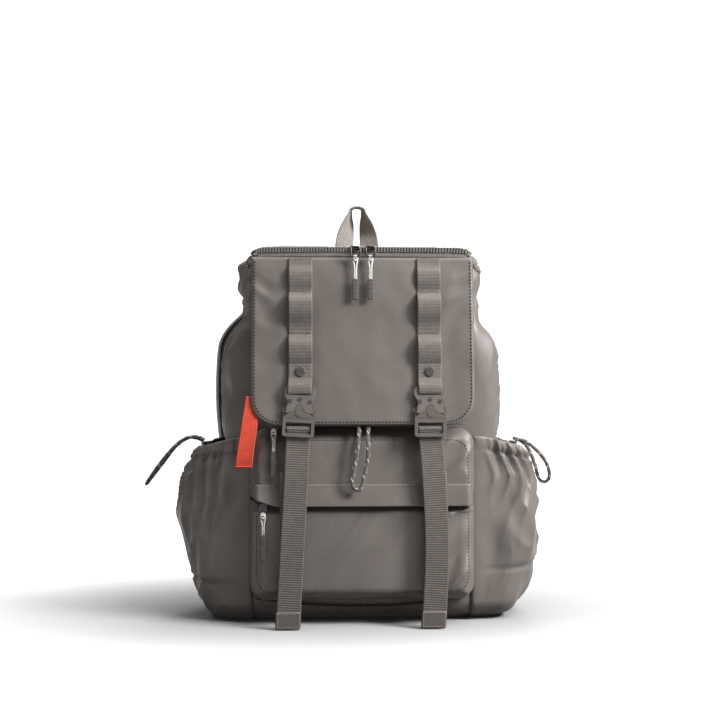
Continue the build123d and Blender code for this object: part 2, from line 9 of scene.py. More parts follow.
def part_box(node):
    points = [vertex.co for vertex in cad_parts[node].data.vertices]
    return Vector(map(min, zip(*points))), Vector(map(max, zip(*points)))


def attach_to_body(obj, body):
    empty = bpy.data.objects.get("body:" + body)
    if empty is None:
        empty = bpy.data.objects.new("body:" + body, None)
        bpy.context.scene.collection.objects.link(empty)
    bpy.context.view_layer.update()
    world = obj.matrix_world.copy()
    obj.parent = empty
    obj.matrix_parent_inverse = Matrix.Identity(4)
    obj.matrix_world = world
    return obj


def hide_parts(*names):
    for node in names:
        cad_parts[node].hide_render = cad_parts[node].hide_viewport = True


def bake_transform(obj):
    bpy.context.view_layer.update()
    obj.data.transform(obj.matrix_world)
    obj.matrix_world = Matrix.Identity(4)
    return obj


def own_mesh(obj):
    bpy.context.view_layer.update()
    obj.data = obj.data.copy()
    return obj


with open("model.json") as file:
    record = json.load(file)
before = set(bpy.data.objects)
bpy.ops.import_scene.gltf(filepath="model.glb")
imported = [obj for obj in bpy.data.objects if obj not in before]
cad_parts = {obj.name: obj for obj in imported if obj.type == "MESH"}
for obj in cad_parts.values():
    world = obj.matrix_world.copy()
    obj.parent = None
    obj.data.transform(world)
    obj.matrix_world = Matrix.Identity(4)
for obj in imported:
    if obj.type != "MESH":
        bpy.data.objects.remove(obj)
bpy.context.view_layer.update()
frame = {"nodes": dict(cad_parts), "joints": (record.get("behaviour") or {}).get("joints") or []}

# A daypack. Lengths are in millimetres here and become metres where a mesh is made.
MM = 0.001
SIDES = {"left": -1, "right": 1}
X_AXIS, FORWARD, UPWARD = (1, 0, 0), (0, -1, 0), (0, 0, 1)
STRAP_WIDTH, WEB_THICK, CLOTH_THICK = 25, 1.3, 1.6


# ---- numbers
def ramp(value, start, span):
    """0 up to start, then rising to 1 over span; a negative span rises downwards."""
    return np.clip((value - start) / span, 0, 1)


def bell(value, middle, width, power=2):
    """1 at the middle, falling smoothly to 0 on both sides."""
    return np.exp(-((value - middle) / width) ** power)


def unit(vectors):
    return vectors / np.linalg.norm(vectors, axis=-1, keepdims=True)


def join(*parts):
    """Points from their coordinates, each a number or an array."""
    return np.stack(np.broadcast_arrays(*parts), axis=-1)


def rough(x, y, z, scale, seed=0.0):
    """Smooth random heights between about -1 and 1, the same on each run."""
    flat = zip(np.ravel(x), np.ravel(y), np.ravel(z))
    values = [noise.noise(Vector((a / scale + seed, b / scale, c / scale))) for a, b, c in flat]
    return np.array(values).reshape(np.shape(x)) * 2


def ridges(x, y, z, scale, seed, power=0.8):
    """Sharp-crested random folds, 1 on the crests."""
    return 1 - 2 * np.abs(rough(x, y, z, scale, seed)) ** power


def dome(distance, reach):
    """0 at an edge and 1 from reach inwards, round like a stuffed edge."""
    t = np.clip(distance / reach, 0, 1)
    return np.sqrt(1 - (1 - t) ** 2)


# ---- lines
def travel(points):
    """Distance along a line of points, from 0."""
    return np.concatenate([[0], np.cumsum(np.linalg.norm(np.diff(points, axis=0), axis=1))])


def walk(points, step, least=2, extra=0):
    """Evenly spaced points along a straight-sided path."""
    points = np.array(points, float)
    along = travel(points)
    at = np.linspace(0, along[-1], max(least, int(along[-1] / step) + extra))
    return np.stack([np.interp(at, along, column) for column in points.T], axis=1)


def smooth_path(points, step):
    """A smooth line through the points, resampled about every step."""
    p = np.array(points, float)
    p = np.vstack([2 * p[0] - p[1], p, 2 * p[-1] - p[-2]])
    line = []
    for a, b, c, d in zip(p, p[1:], p[2:], p[3:]):
        t = np.linspace(0, 1, 24, endpoint=False)[:, None]
        line.append(0.5 * (2 * b + (c - a) * t + (2 * a - 5 * b + 4 * c - d) * t ** 2
                           + (3 * b - a - 3 * c + d) * t ** 3))
    return walk(np.vstack(line + [p[-2:-1]]), step, 3, 1)


def profile(*knots):
    """A smooth function through (position, value) knots, whose positions rise."""
    line = smooth_path([(a, b, 0) for a, b in knots], 0.5)
    return lambda t: np.interp(t, line[:, 0], line[:, 1])


def mirrored(half, *middle):
    """The half, the middle and then the half's mirror image, as one run from left to right."""
    return [*half, *middle, *((-p[0], *p[1:]) for p in half[::-1])]


def outline_path(half, low, high, radius, inset, corners="all"):
    """Across and up along a rounded rectangle, inset from its edge."""
    h, r = half - inset, max(radius - inset, 1)
    lo, hi = low + inset, high - inset
    line = []
    for sx, sz, start in ((-1, -1, 180), (1, -1, 270), (1, 1, 0), (-1, 1, 90)):
        if corners == "bottom" and sz > 0:
            line.append((sx * h, hi))
            continue
        cx, cz = sx * (h - r), (lo + r if sz < 0 else hi - r)
        for k in range(7):
            angle = radians(start + 15 * k)
            line.append((cx + r * cos(angle), cz + r * sin(angle)))
    return line


# ---- frame measures
def box_mm(node):
    """A CAD node's lowest and highest corners, in millimetres."""
    low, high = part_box(node)
    return np.array(low) / MM, np.array(high) / MM


def plane(origin, up, out):
    """Maps across, up and outward in a plane's own frame to points."""
    def place(a, b, w):
        a, b, w = np.broadcast_arrays(a, b, w)
        return (np.array(origin) + np.multiply.outer(a, X_AXIS) + np.multiply.outer(b, up)
                + np.multiply.outer(w, out))
    return place


JOINTS = {j["name"]: j for j in frame["joints"]}
HINGE = np.array(JOINTS["flap_open"]["pos_m"]) / MM
HANG_TILT = radians(6)
FLAP_UP = np.array([0, sin(HANG_TILT), cos(HANG_TILT)])
FLAP_OUT = np.array([0, -cos(HANG_TILT), sin(HANG_TILT)])
on_flap = plane(HINGE * [0, 1, 1], FLAP_UP, FLAP_OUT)
STRAP_X = {side: float(np.mean([c[0] for c in box_mm(f"upper_strap_{side}")])) for side in SIDES}
BODY_TOP = box_mm("front_panel")[1][2]
POCKET_HALF = box_mm("front_pocket_lower")[1][0]
STORM_LOW, STORM_TOP = (c[2] for c in box_mm("pocket_storm_flap"))
LOWER_LOW, LOWER_TOP = (c[2] for c in box_mm("front_pocket_lower"))
UPPER_LOW, UPPER_TOP = (c[2] for c in box_mm("front_pocket_upper"))


# ---- materials
def srgb(red, green, blue):
    """Linear colour from the 0-255 values of a display."""
    return tuple(((c / 255 + 0.055) / 1.055) ** 2.4 for c in (red, green, blue)) + (1,)


def bands(pitch):
    """The wave texture's scale for bands that are pitch millimetres apart."""
    return 2 * pi / (20 * pitch * MM)


class Finish:
    """A procedural material, built up step by step."""

    def __init__(self, name, colour, roughness, metallic=0.0, sheen=0.0, specular=0.5):
        self.material = bpy.data.materials.new(name)
        self.material.use_nodes = True
        self.material.diffuse_color = colour
        self.nodes, self.links = self.material.node_tree.nodes, self.material.node_tree.links
        self.shader = self.nodes["Principled BSDF"]
        self.set(self.shader, {"Base Color": colour, "Roughness": roughness, "Metallic": metallic,
                               "Sheen Weight": sheen, "Sheen Roughness": 0.45,
                               "Specular IOR Level": specular})
        self.colour = colour
        self.normal = None

    def set(self, node, values):
        for key, value in values.items():
            node.inputs[key].default_value = value
        return node

    def node(self, kind, **values):
        return self.set(self.nodes.new(kind), values)

    def vector(self, operation, *sources):
        made = self.nodes.new("ShaderNodeVectorMath")
        made.operation = operation
        for socket, source in zip(made.inputs, sources):
            self.links.new(source, socket)
        return made

    def place(self, kind="Object"):
        if kind not in self.__dict__:
            self.__dict__[kind] = self.nodes.new("ShaderNodeTexCoord").outputs[kind]
        return self.__dict__[kind]

    def noise(self, scale, detail=3.0):
        made = self.node("ShaderNodeTexNoise", Scale=scale, Detail=detail, Roughness=0.55)
        self.links.new(self.place(), made.inputs["Vector"])
        return made.outputs["Fac"]

    def wave(self, scale, direction, where="Object", distortion=0.0):
        made = self.node("ShaderNodeTexWave", Scale=scale, Distortion=distortion)
        made.bands_direction = direction
        self.links.new(self.place(where), made.inputs["Vector"])
        return made.outputs["Fac"]

    def math(self, operation, a, b):
        made = self.nodes.new("ShaderNodeMath")
        made.operation = operation
        for socket, value in zip(made.inputs, (a, b)):
            if isinstance(value, (int, float)):
                socket.default_value = value
            else:
                self.links.new(value, socket)
        return made.outputs[0]

    def mix(self, a, share_a, b, share_b):
        """The sum of two values, each times its share."""
        return self.math("ADD", self.math("MULTIPLY", a, share_a), self.math("MULTIPLY", b, share_b))

    def bump(self, height, distance, strength=1.0):
        made = self.node("ShaderNodeBump", Strength=strength, Distance=distance * MM)
        self.links.new(height, made.inputs["Height"])
        if self.normal:
            self.links.new(self.normal, made.inputs["Normal"])
        self.normal = made.outputs["Normal"]
        self.links.new(self.normal, self.shader.inputs["Normal"])
        return self

    def vary(self, factor, dark, light, low=0.35, high=0.65):
        """Colour that runs from dark to light times the base colour as factor goes from low to high."""
        made = self.nodes.new("ShaderNodeValToRGB")
        for stop, at, share in zip(made.color_ramp.elements, (low, high), (dark, light)):
            stop.position = at
            stop.color = tuple(min(1, c * share) for c in self.colour[:3]) + (1,)
        self.links.new(factor, made.inputs["Fac"])
        self.links.new(made.outputs["Color"], self.shader.inputs["Base Color"])
        return self

    def roughness_from(self, factor, low, high):
        span = self.node("ShaderNodeMapRange", **{"To Min": low, "To Max": high})
        self.links.new(factor, span.inputs["Value"])
        self.links.new(span.outputs["Result"], self.shader.inputs["Roughness"])
        return self


def nylon(name, colour, roughness=0.5, wrinkle=0.5):
    """Soft satin nylon: a fine weave, faint creases and slow changes of tone."""
    f = Finish(name, colour, roughness, sheen=0.08, specular=0.55)
    f.vary(f.mix(f.noise(14, 4), 0.55, f.noise(1000, 2), 0.45), 0.81, 1.17)
    f.roughness_from(f.noise(40), roughness - 0.06, roughness + 0.08)
    f.bump(f.noise(26, 4), wrinkle, 0.5)
    return f.bump(f.math("MULTIPLY", f.wave(620, "X"), f.wave(620, "Z")), 0.05, 0.35).material


def webbing(name, colour, pitch=1.25, roughness=0.62):
    """Ribbed webbing: ribs across and a fine ladder along, with painted shade in the grooves and a painted
    highlight on the high spots.
    """
    f = Finish(name, colour, roughness, sheen=0.35, specular=0.35)
    rib_height_and_painted_shade = f.mix(f.wave(bands(pitch), "Y", "UV"), 0.65, f.wave(bands(0.9), "X", "UV", 0.4), 0.25)
    fibres = f.mix(f.noise(900, 2), 0.8, f.noise(120), 0.3)
    # Painted shade and highlight: the colour follows the rib height, darker in the grooves and lighter on the
    # crests; the fibre noise is random tone.
    f.vary(f.mix(rib_height_and_painted_shade, 0.5, fibres, 1.0), 0.5, 1.42, 0.45, 1.15)
    return f.bump(rib_height_and_painted_shade, 0.22, 0.7).material


def metal(name, colour, roughness=0.38):
    """Satin anodised metal, with a painted highlight that makes its edges paler and painted shade that
    darkens its recesses.
    """
    f = Finish(name, colour, roughness, metallic=0.5, specular=0.5)
    # Painted highlight: the colour grows lighter along edges, where the rounded shading normal turns away
    # from the face's own normal.
    rounded = f.node("ShaderNodeBevel", Radius=0.7 * MM).outputs["Normal"]
    facing = f.vector("DOT_PRODUCT", rounded, f.nodes.new("ShaderNodeNewGeometry").outputs["Normal"])
    edge = f.math("MINIMUM", f.math("MULTIPLY", f.math("SUBTRACT", 1.0, facing.outputs["Value"]), 5.0), 1.0)
    # Painted shade: ambient occlusion darkens the colour in recesses and where parts come close together.
    painted_occlusion_shade = f.node("ShaderNodeAmbientOcclusion", Distance=5.0 * MM).outputs["AO"]
    f.vary(f.mix(f.mix(painted_occlusion_shade, 0.5, edge, 0.42), 1.0, f.noise(90), 0.14), 0.2, 2.1, 0.14, 1.0)
    f.roughness_from(f.noise(300, 2), roughness - 0.08, roughness + 0.1)
    return f.bump(f.noise(900, 2), 0.03, 0.3).material


def plastic(name, colour, roughness=0.55, pattern=None):
    """Moulded plastic or thread; pattern is the pitch of its ridges."""
    f = Finish(name, colour, roughness, specular=0.45)
    f.vary(f.noise(110), 0.88, 1.12)
    if pattern:
        f.bump(f.wave(bands(pattern), "Z"), 0.35, 0.8)
    return f.bump(f.noise(700, 2), 0.05, 0.4).material


def braid(name, colour, dark=0.7):
    """Braided cord: a diamond weave that follows its length, with painted shade in the weave's hollows."""
    f = Finish(name, colour, 0.62, sheen=0.3, specular=0.35)
    diamonds = f.math("MULTIPLY", f.wave(bands(1.5), "DIAGONAL", "UV"), f.wave(bands(1.1), "Y", "UV"))
    # Painted shade: the colour follows the weave's relief, darker in its hollows and lighter on its strands,
    # with random tone mixed in.
    f.vary(f.mix(diamonds, 1.0, f.noise(240), 0.4), dark, 1.2, 0.1, 0.9)
    return f.bump(diamonds, 0.3, 0.8).material


SHELL = nylon("shell_nylon", srgb(111, 104, 99), 0.46)
# A darker copy of the shell nylon: painted shade, used on the tail end tabs and the base welt.
SHELL_SHADED = nylon("shell_nylon_shaded", srgb(100, 93, 88))
LINING = nylon("lining", srgb(52, 49, 47), 0.7)
PAD = nylon("padding_cover", srgb(98, 92, 88), 0.7, 0.9)
STRAP = webbing("strap_webbing", srgb(109, 102, 97), 1.5)
TAIL = webbing("tail_webbing", srgb(102, 95, 90), 2.4)
GREY_STRAP = webbing("handle_webbing", srgb(146, 139, 133), 1.3)
EDGE_TAPE = webbing("edge_tape", srgb(238, 234, 230), 2.0)
THREAD = plastic("thread", srgb(162, 154, 148), 0.6)
DARK_THREAD = plastic("dark_thread", srgb(42, 39, 37), 0.6)
BUCKLE = metal("buckle_metal", srgb(136, 129, 124), 0.32)
BUCKLE_DARK = metal("buckle_dark", srgb(88, 83, 79), 0.4)
BUCKLE_FRAME = metal("buckle_frame", srgb(124, 117, 112), 0.32)
SLIDER = metal("slider_metal", srgb(58, 55, 54), 0.36)
TEETH = plastic("zip_teeth", srgb(132, 125, 120), 0.35)
TAPE = webbing("zip_tape", srgb(122, 115, 110), 0.8)
GRIP = plastic("pull_grip", srgb(84, 80, 78), 0.6, 1.4)
WHITE_CORD = braid("white_cord", srgb(243, 242, 238), 0.88)
GREY_CORD = braid("grey_cord", srgb(112, 104, 98))
FLECK = plastic("tracer_fleck", srgb(224, 223, 218), 0.5)
RIBBON = webbing("ribbon", srgb(236, 72, 46), 0.7, 0.5)
LOCK = plastic("lock_plastic", srgb(50, 48, 47), 0.5)


# ---- pieces
def add(name, data):
    """A new object in the scene."""
    obj = bpy.data.objects.new(name, data)
    bpy.context.scene.collection.objects.link(obj)
    return obj


def make_mesh(name, points, faces, material, uv=None, smooth=True):
    """A mesh object from points in millimetres, with an optional UV for each point."""
    mesh = bpy.data.meshes.new(name)
    mesh.from_pydata((np.asarray(points).reshape(-1, 3) * MM).tolist(), [], faces)
    if uv is not None:
        layer = mesh.uv_layers.new(name="UVMap")
        corner = np.zeros(len(mesh.loops), dtype=np.int32)
        mesh.loops.foreach_get("vertex_index", corner)
        layer.data.foreach_set("uv", (uv.reshape(-1, 2)[corner] * MM).ravel())
    mesh.polygons.foreach_set("use_smooth", [smooth] * len(mesh.polygons))
    mesh.materials.append(material)
    mesh.update()
    return add(name, mesh)


def grid_faces(rows, columns, wrap=False):
    """Quads of a grid of points; wrap joins the last column to the first."""
    last = columns if wrap else columns - 1
    return [(r * columns + c, r * columns + (c + 1) % columns, (r + 1) * columns + (c + 1) % columns,
             (r + 1) * columns + c) for r in range(rows - 1) for c in range(last)]


def tube_faces(rows, columns):
    """The wall of a tube and its two ends."""
    ends = [tuple(range(columns))[::-1], tuple(range((rows - 1) * columns, rows * columns))]
    return grid_faces(rows, columns, wrap=True) + ends


def thicken(obj, thickness, lined=False):
    """Real thickness for a sheet, grown against its normals; lined gives the inner side the lining."""
    if lined:
        obj.data.materials.append(LINING)
    solid = obj.modifiers.new("thickness", "SOLIDIFY")
    solid.thickness, solid.offset = thickness * MM, -1.0
    solid.material_offset = 1 if lined else 0
    return obj


def cloth(name, points, material=None, thickness=CLOTH_THICK, flip=False, lined=False):
    """A sheet from a grid of points, or from its x, y and z grids, with UVs of its real size."""
    if isinstance(points, tuple):
        points = join(*points)
    u = np.cumsum(np.linalg.norm(np.diff(points, axis=1, prepend=points[:, :1]), axis=2), axis=1)
    v = np.cumsum(np.linalg.norm(np.diff(points, axis=0, prepend=points[:1]), axis=2), axis=0)
    faces = grid_faces(*points.shape[:2])
    if flip:
        faces = [f[::-1] for f in faces]
    return thicken(make_mesh(name, points, faces, material or SHELL, join(u, v)), thickness, lined)


def attach(obj, body, *nodes, slot=None):
    """Rides on a body and stands for CAD nodes; slot is not used."""
    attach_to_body(obj, body)
    if nodes:
        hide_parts(*nodes)
    return obj


def ribbon(name, path, material, across=X_AXIS, width=STRAP_WIDTH, thickness=WEB_THICK, rib=0.0, pitch=1.25,
           step=0.42):
    """Webbing along a path. across is the width's direction, one or one per path point. Ribs are geometry."""
    line = smooth_path(path, step)
    across = np.atleast_2d(np.array(across, float))
    share, knots = np.linspace(0, 1, len(line)), np.linspace(0, 1, len(across))
    across = np.stack([np.interp(share, knots, column) for column in across.T], axis=1)
    tangent = unit(np.gradient(line, axis=0))
    across = unit(across - (across * tangent).sum(axis=1)[:, None] * tangent)
    up = np.cross(across, tangent)
    along = travel(line)[:, None]
    half, t = width / 2, thickness / 2
    under = [(-half, -0.2 * t), (-half + 0.5, -t), (-half + 1.6, -0.86 * t), (-half / 3, -t), (half / 3, -t),
             (half - 1.6, -0.86 * t), (half - 0.5, -t), (half, -0.2 * t)]
    a, h = np.array(under + [(-a, -h) for a, h in under]).T
    lift = h * (1 + rib * np.cos(2 * pi * along / pitch) / t)
    points = line[:, None] + across[:, None] * a[:, None] + up[:, None] * lift[:, :, None]
    return make_mesh(name, points, tube_faces(*points.shape[:2]), material, join(a + half, along))


def stitches(name, rows, material, pitch=3.1, length=2.1, radius=0.42):
    """Thread stitches along rows of (path, outward normal); every stitch is a small pad on the path."""
    points, faces = [], []
    for path, normal in rows:
        line = smooth_path(path, pitch)
        normal = np.broadcast_to(np.array(normal, float), line.shape)
        for k in range(len(line) - 1):
            middle, along = (line[k] + line[k + 1]) / 2, unit(line[k + 1] - line[k])
            out = unit(normal[k] - along * (normal[k] @ along))
            side = np.cross(along, out)
            start = len(points)
            for a, r in ((-0.72, 0.8), (0.0, 1.0), (0.72, 0.8)):
                for turn in range(6):
                    angle = turn * pi / 3
                    points.append(middle + along * a * length / 2
                                  + (side * cos(angle) + out * sin(angle)) * r * radius)
            points += [middle - along * length / 2, middle + along * length / 2]
            for turn in range(6):
                a, b = start + turn, start + (turn + 1) % 6
                faces += [(a, b, b + 6, a + 6), (a + 6, b + 6, b + 12, a + 12), (b, a, start + 18),
                          (a + 12, b + 12, start + 19)]
    return make_mesh(name, points, faces, material)


def rounded_grid(half, low, high, radius, step, corners="all"):
    """A grid of points over a rounded rectangle, denser near its edge: across, up, and distance inside."""
    middle, rise = (low + high) / 2, (high - low) / 2
    u, v = (np.linspace(-1, 1, int(2 * size / step) + 1) for size in (half, rise))
    u, v = (0.55 * t + 0.45 * np.sin(pi / 2 * t) for t in (u, v))
    x, z = np.meshgrid(u * half, v * rise)
    a = ramp(np.abs(x), half - radius, radius)
    b = ramp(np.abs(z), rise - radius, radius)
    if corners == "bottom":
        b = np.where(z > 0, 0, b)
    inside = (a > 0) & (b > 0)
    round_x, round_z = a * np.sqrt(1 - b ** 2 / 2), b * np.sqrt(1 - a ** 2 / 2)
    x = np.where(inside, np.sign(x) * (half - radius + radius * round_x), x)
    z = np.where(inside, np.sign(z) * (rise - radius + radius * round_z), z)
    qx, qz = np.abs(x) - (half - radius), np.abs(z) - (rise - radius)
    corner = np.hypot(np.maximum(qx, 0), np.maximum(qz, 0)) - radius
    flat = np.maximum(qx, qz) - radius
    deep = -np.where((qx > 0) & (qz > 0) & ((z < 0) | (corners == "all")), corner, flat)
    return x, z + middle, np.maximum(deep, 0)


# ---- body
HALF_WIDTH = profile(
    (0, 122), (10, 126), (60, 127), (120, 128), (160, 134), (190, 146), (205, 150.5), (226, 152.3),
    (253, 152.3), (270, 151.7), (291, 149), (308, 142), (316, 135.5), (322, 131), (330, 129), (375, 130),
    (388, 127), (396, 119))
HALF_DEPTH = 68.5


def tucked(z):
    """0 on the walls, rising to 1 where the base corner has turned under."""
    return 1 - np.sqrt(1 - (1 - ramp(z, 0, 22)) ** 2)


def body_point(angle, z):
    """The body's skin: a rounded box that is fullest at the gussets and soft at its corners."""
    n = 2 / (7 + 8 * ramp(z, 200, -60))
    c, s = np.cos(angle), np.sin(angle)
    x = HALF_WIDTH(z) * (1 - 0.12 * tucked(z)) * np.sign(c) * np.abs(c) ** n
    y = HALF_DEPTH * (1 - 0.5 * tucked(z)) * np.sign(s) * np.abs(s) ** n
    side = np.abs(c) ** 1.2
    gusset = side * ramp(z, 190, 50)
    high = ramp(z, 335, 20)
    folds = ridges(x, y * 1.5 - 0.4 * z * np.sign(x), z * 0.42, 30, 3) * (3.0 + 0.6 * high)
    folds += rough(x, y * 2, z, 15, 8) * (0.6 + high * np.where(x < 0, 2.6, 0.8))
    folds += 3 * high * (x < 0) - 4 * bell(z - 352, 6 * np.sin(y / 20), 7)
    crease = rough(x * 0.6, y, z, 60, 5) * 1.2
    out = gusset * folds + crease * (1 - side) * 0.4 - gusset * 1.5
    return join(x + out * np.sign(c) * np.abs(c) ** 0.5, y, z)


angles = np.linspace(-pi / 2, 1.5 * pi, 241)[:-1]
angles = angles + 0.1 * np.sin(4 * angles)
levels = np.concatenate([np.geomspace(0.4, 20, 12), np.linspace(23, 388, 94), [391, 393.5, BODY_TOP]])
A, Z = np.meshgrid(angles, levels)
skin = body_point(A, Z)
skin[:, :, 2] -= 4.4 * (ramp(np.abs(skin[:, :, 0]), 98, 20) * ramp(Z, 372, 20)) ** 2
base_rows = np.array([skin[0] * [k, k, 0] + [0, 0, 0.3] for k in (0.02, 0.4, 0.8)])
skin = np.concatenate([base_rows, skin])
shell = make_mesh("body_shell", skin, grid_faces(*skin.shape[:2], wrap=True), SHELL)
attach(thicken(shell, 2.0, lined=True), "root", "front_panel", "back_panel", "side_panel_left",
       "side_panel_right", "base_panel", slot="shell_nylon")

x, z, deep = rounded_grid(112, -52, 52, 22, 6)
quilt = np.abs(np.sin(x / 24) * np.sin(z / 24)) ** 0.5
floor_cover = cloth("floor_cover", (x, z, 4.2 + dome(deep, 8) * (1.4 + 1.2 * quilt)), LINING)
attach(floor_cover, "root", "floor_lining", "base_board", slot="lining")

# ---- front pockets
FRONT_SKIN = -68.6
UPPER_DEPTH, LOWER_DEPTH = 23.4, 23.3
SLOPE = profile((UPPER_LOW, UPPER_DEPTH), (150, UPPER_DEPTH), (172, 21), (192, 17.6), (200, 13.5),
                (UPPER_TOP, 6))


def creases(x, z, seed, angle):
    """Long wrinkles that run along a direction in the front view."""
    c, s = cos(radians(angle)), sin(radians(angle))
    along, over = x * c + z * s, -x * s + z * c
    return ridges(along / 4.0, over + 4 * np.sin(along / 23), np.full_like(x, seed), 24, seed, 0.75)


def upper_face(x, z):
    """The upper pocket's skin: how far forward it stands."""
    edge = POCKET_HALF - np.abs(x)
    right = ramp(x, 62, 45) * ramp(z, UPPER_TOP - 8, -18)
    wave = creases(x, z, 2, 33) * (0.5 + 3.0 * right) * dome(edge, 20)
    return FRONT_SKIN - SLOPE(z) * dome(edge, 15) - wave * ramp(z, 147, 12)


def lower_face(x, z):
    """The lower pocket's skin: full in the middle, turned under at its foot, set back at its mouth."""
    edge = np.minimum(POCKET_HALF - np.abs(x), (z - LOWER_LOW) * 1.15 + 1)
    right = ramp(x, 76, 22) * ramp(z, 30, 22)
    middle = np.clip(1 - (x / 52) ** 2, 0, 1) * ramp(z, LOWER_TOP - 6, -30)
    mouth = 4.5 * ramp(z - STORM_LOW, -6, 7)
    wave = creases(x, z, 7, 52) * (0.5 + 3.6 * right) * dome(edge, 24)
    return FRONT_SKIN - LOWER_DEPTH * dome(edge, 19) - 1.5 * middle - wave * (mouth == 0) + mouth


x, z, deep = rounded_grid(POCKET_HALF, UPPER_LOW, UPPER_TOP + 14, 22, 1.9)
z = UPPER_LOW + (z - UPPER_LOW) * (UPPER_TOP + 1 - UPPER_LOW) / (UPPER_TOP + 14 - UPPER_LOW)
edge_y = FRONT_SKIN - UPPER_DEPTH * np.maximum(dome(deep, 12), 0.02)
y = np.maximum(upper_face(x, np.maximum(z, UPPER_LOW)), edge_y)
attach(cloth("front_pocket_upper_skin", (x, y, z)), "root", "front_pocket_upper", slot="shell_nylon")

x, z, deep = rounded_grid(POCKET_HALF, LOWER_LOW - 1, STORM_LOW + 5, 20, 1.9, "bottom")
edge_y = FRONT_SKIN - LOWER_DEPTH * np.maximum(dome(deep, 16), 0.02) - 2.5
y = np.maximum(lower_face(x, z), edge_y)
attach(cloth("front_pocket_lower_skin", (x, y, z)), "root", "front_pocket_lower", slot="shell_nylon")

# The storm flap over the lower zip: its lower edge lifts a little and rises at its left end.
t, s = np.meshgrid(np.linspace(-118.5, 117, 150), np.linspace(0, 1, 16))
foot = STORM_LOW + 10 * ramp(-t, 88, 30) ** 1.5
z = foot + (STORM_TOP + 3 - foot) * s
ends = dome(119.5 - np.abs(t), 10)
y = FRONT_SKIN - (24.0 + 4.3 * (1 - s) ** 0.8 + 0.5 * rough(t, s * 0, z, 30, 4) * (1 - s)) * ends
storm = cloth("pocket_storm_flap_skin", (t, y, z), thickness=1.5)
attach(storm, "root", "pocket_storm_flap", slot="shell_nylon")

# ---- side pockets
POCKET_OUT = profile(
    (0, 158), (6, 167), (30, 181), (60, 191), (95, 197.5), (118, 199), (145, 196), (168, 187), (186, 177),
    (200, 171))
POCKET_ROOT = 126.5


def side_pocket(side):
    """A gathered pocket: pleats fan down from its drawcord hem."""
    sign = SIDES[side]
    seed, slump_z, fan_rate = (11, 48, -0.0011) if side == "left" else (23, 62, 0.0011)
    turn = (np.linspace(0, 1, 150) - 0.5) * pi
    rise = np.concatenate([np.linspace(0, 0.11, 12), np.linspace(0.125, 1, 74)])
    T, R = np.meshgrid(turn, rise)
    S = T / pi + 0.5
    top = 184 + 15 * np.abs(2 * S - 1) ** 1.25
    z = 1.2 + (top - 1.2) * R
    below = top - z
    under = np.sqrt(np.clip(1 - (1 - ramp(z, 0, 9)) ** 2, 0, 1))
    reach = (POCKET_OUT(z) - POCKET_ROOT) * (0.86 + 0.14 * under)
    n = 2 / 2.7
    x = POCKET_ROOT + reach * np.cos(T) ** n
    y = -5 + 62.5 * np.sign(np.sin(T)) * np.abs(np.sin(T)) ** n
    wander = rough(S * 90, z * 0, z, 60, seed) * 0.7
    pleat = np.cos(2 * pi * 5.5 * (S + fan_rate * below) + 2.6 * wander)
    pleat = (1 - 2 * np.abs(pleat) ** 0.7) * np.exp(-np.clip(below - 13, 0, 500) / 48)
    pleat *= 0.4 + 0.6 * ramp(below, 0, 24)
    gather = np.cos(2 * pi * 21 * S + wander) * np.exp(-np.abs(below - 12) / 12)
    channel = 2.8 * np.sin(pi * ramp(below, 0, 13))
    groove = -3.2 * bell(below, 14, 2.0)
    belly = rough(x, y + 0.5 * z, z * 0.35, 40, seed + 2) * 4.2 * ramp(below, 0, 60)
    slump = bell(z - slump_z, 0.1 * y, 3.2) * 3.0
    fine = ridges(x, y + 0.6 * z, z * 0.3, 26, seed + 5) * 2.3 * ramp(below, 0, 40)
    keep = np.sin(pi * np.clip(S, 0.001, 0.999)) ** 0.4
    out = (5.8 * pleat + 2.3 * gather + channel + groove + belly - slump + fine) * keep * ramp(z, 0, 12)
    points = join(sign * (x + out * np.cos(T)), y + out * np.sin(T) * 0.8, z)
    hem = 2.0 * np.clip(1 - np.abs(z[:, 0] - top[:, 0] + 6) / 8, 0, 1)
    front = [join(sign * x_at, -68.9 - hem * k, z[:, 0]) for x_at, k in ((117, 0), (121, 0.6), (124.5, 1))]
    points = np.concatenate([np.stack(front, axis=1), points[:, 2:]], axis=1)
    points[:, :, 1] *= 1 - 0.5 * tucked(points[:, :, 2])
    inner = points[0] * [0, 1, 0] + [sign * 116.0, 0, 1.0]
    points = np.concatenate([[inner, 0.5 * (inner + points[0])], points])
    piece = cloth(f"side_pocket_skin_{side}", points, flip=side == "left")
    attach(piece, "root", f"side_pocket_{side}", slot="shell_nylon")


for side in SIDES:
    side_pocket(side)

# ---- main flap
FLAP_LOW, FLAP_TOP, FLAP_RADIUS = -178.5, 0.0, 29
FLAP_HALF = box_mm("main_flap")[1][0]


def flap_height(x, v):
    """How high the flap's outer face stands off its plane: flat under the straps, soft between them."""
    under_strap = sum(bell(x, STRAP_X[s], 17, 4) for s in SIDES)
    soft = rough(x, v, v * 0, 70, 9) * 1.1 + rough(x * 1.3, v, v * 0, 26, 14) * 0.35
    drawn = ridges((np.abs(x) + v) / 3, v - 0.75 * np.abs(x), v * 0, 24, 17)
    drawn = drawn * bell(np.abs(x), 104, 17) * bell(v, -38, 34)
    return 2.0 + (soft + 1.3 * drawn) * (1 - 0.9 * under_strap) * ramp(-v, 0, 12)


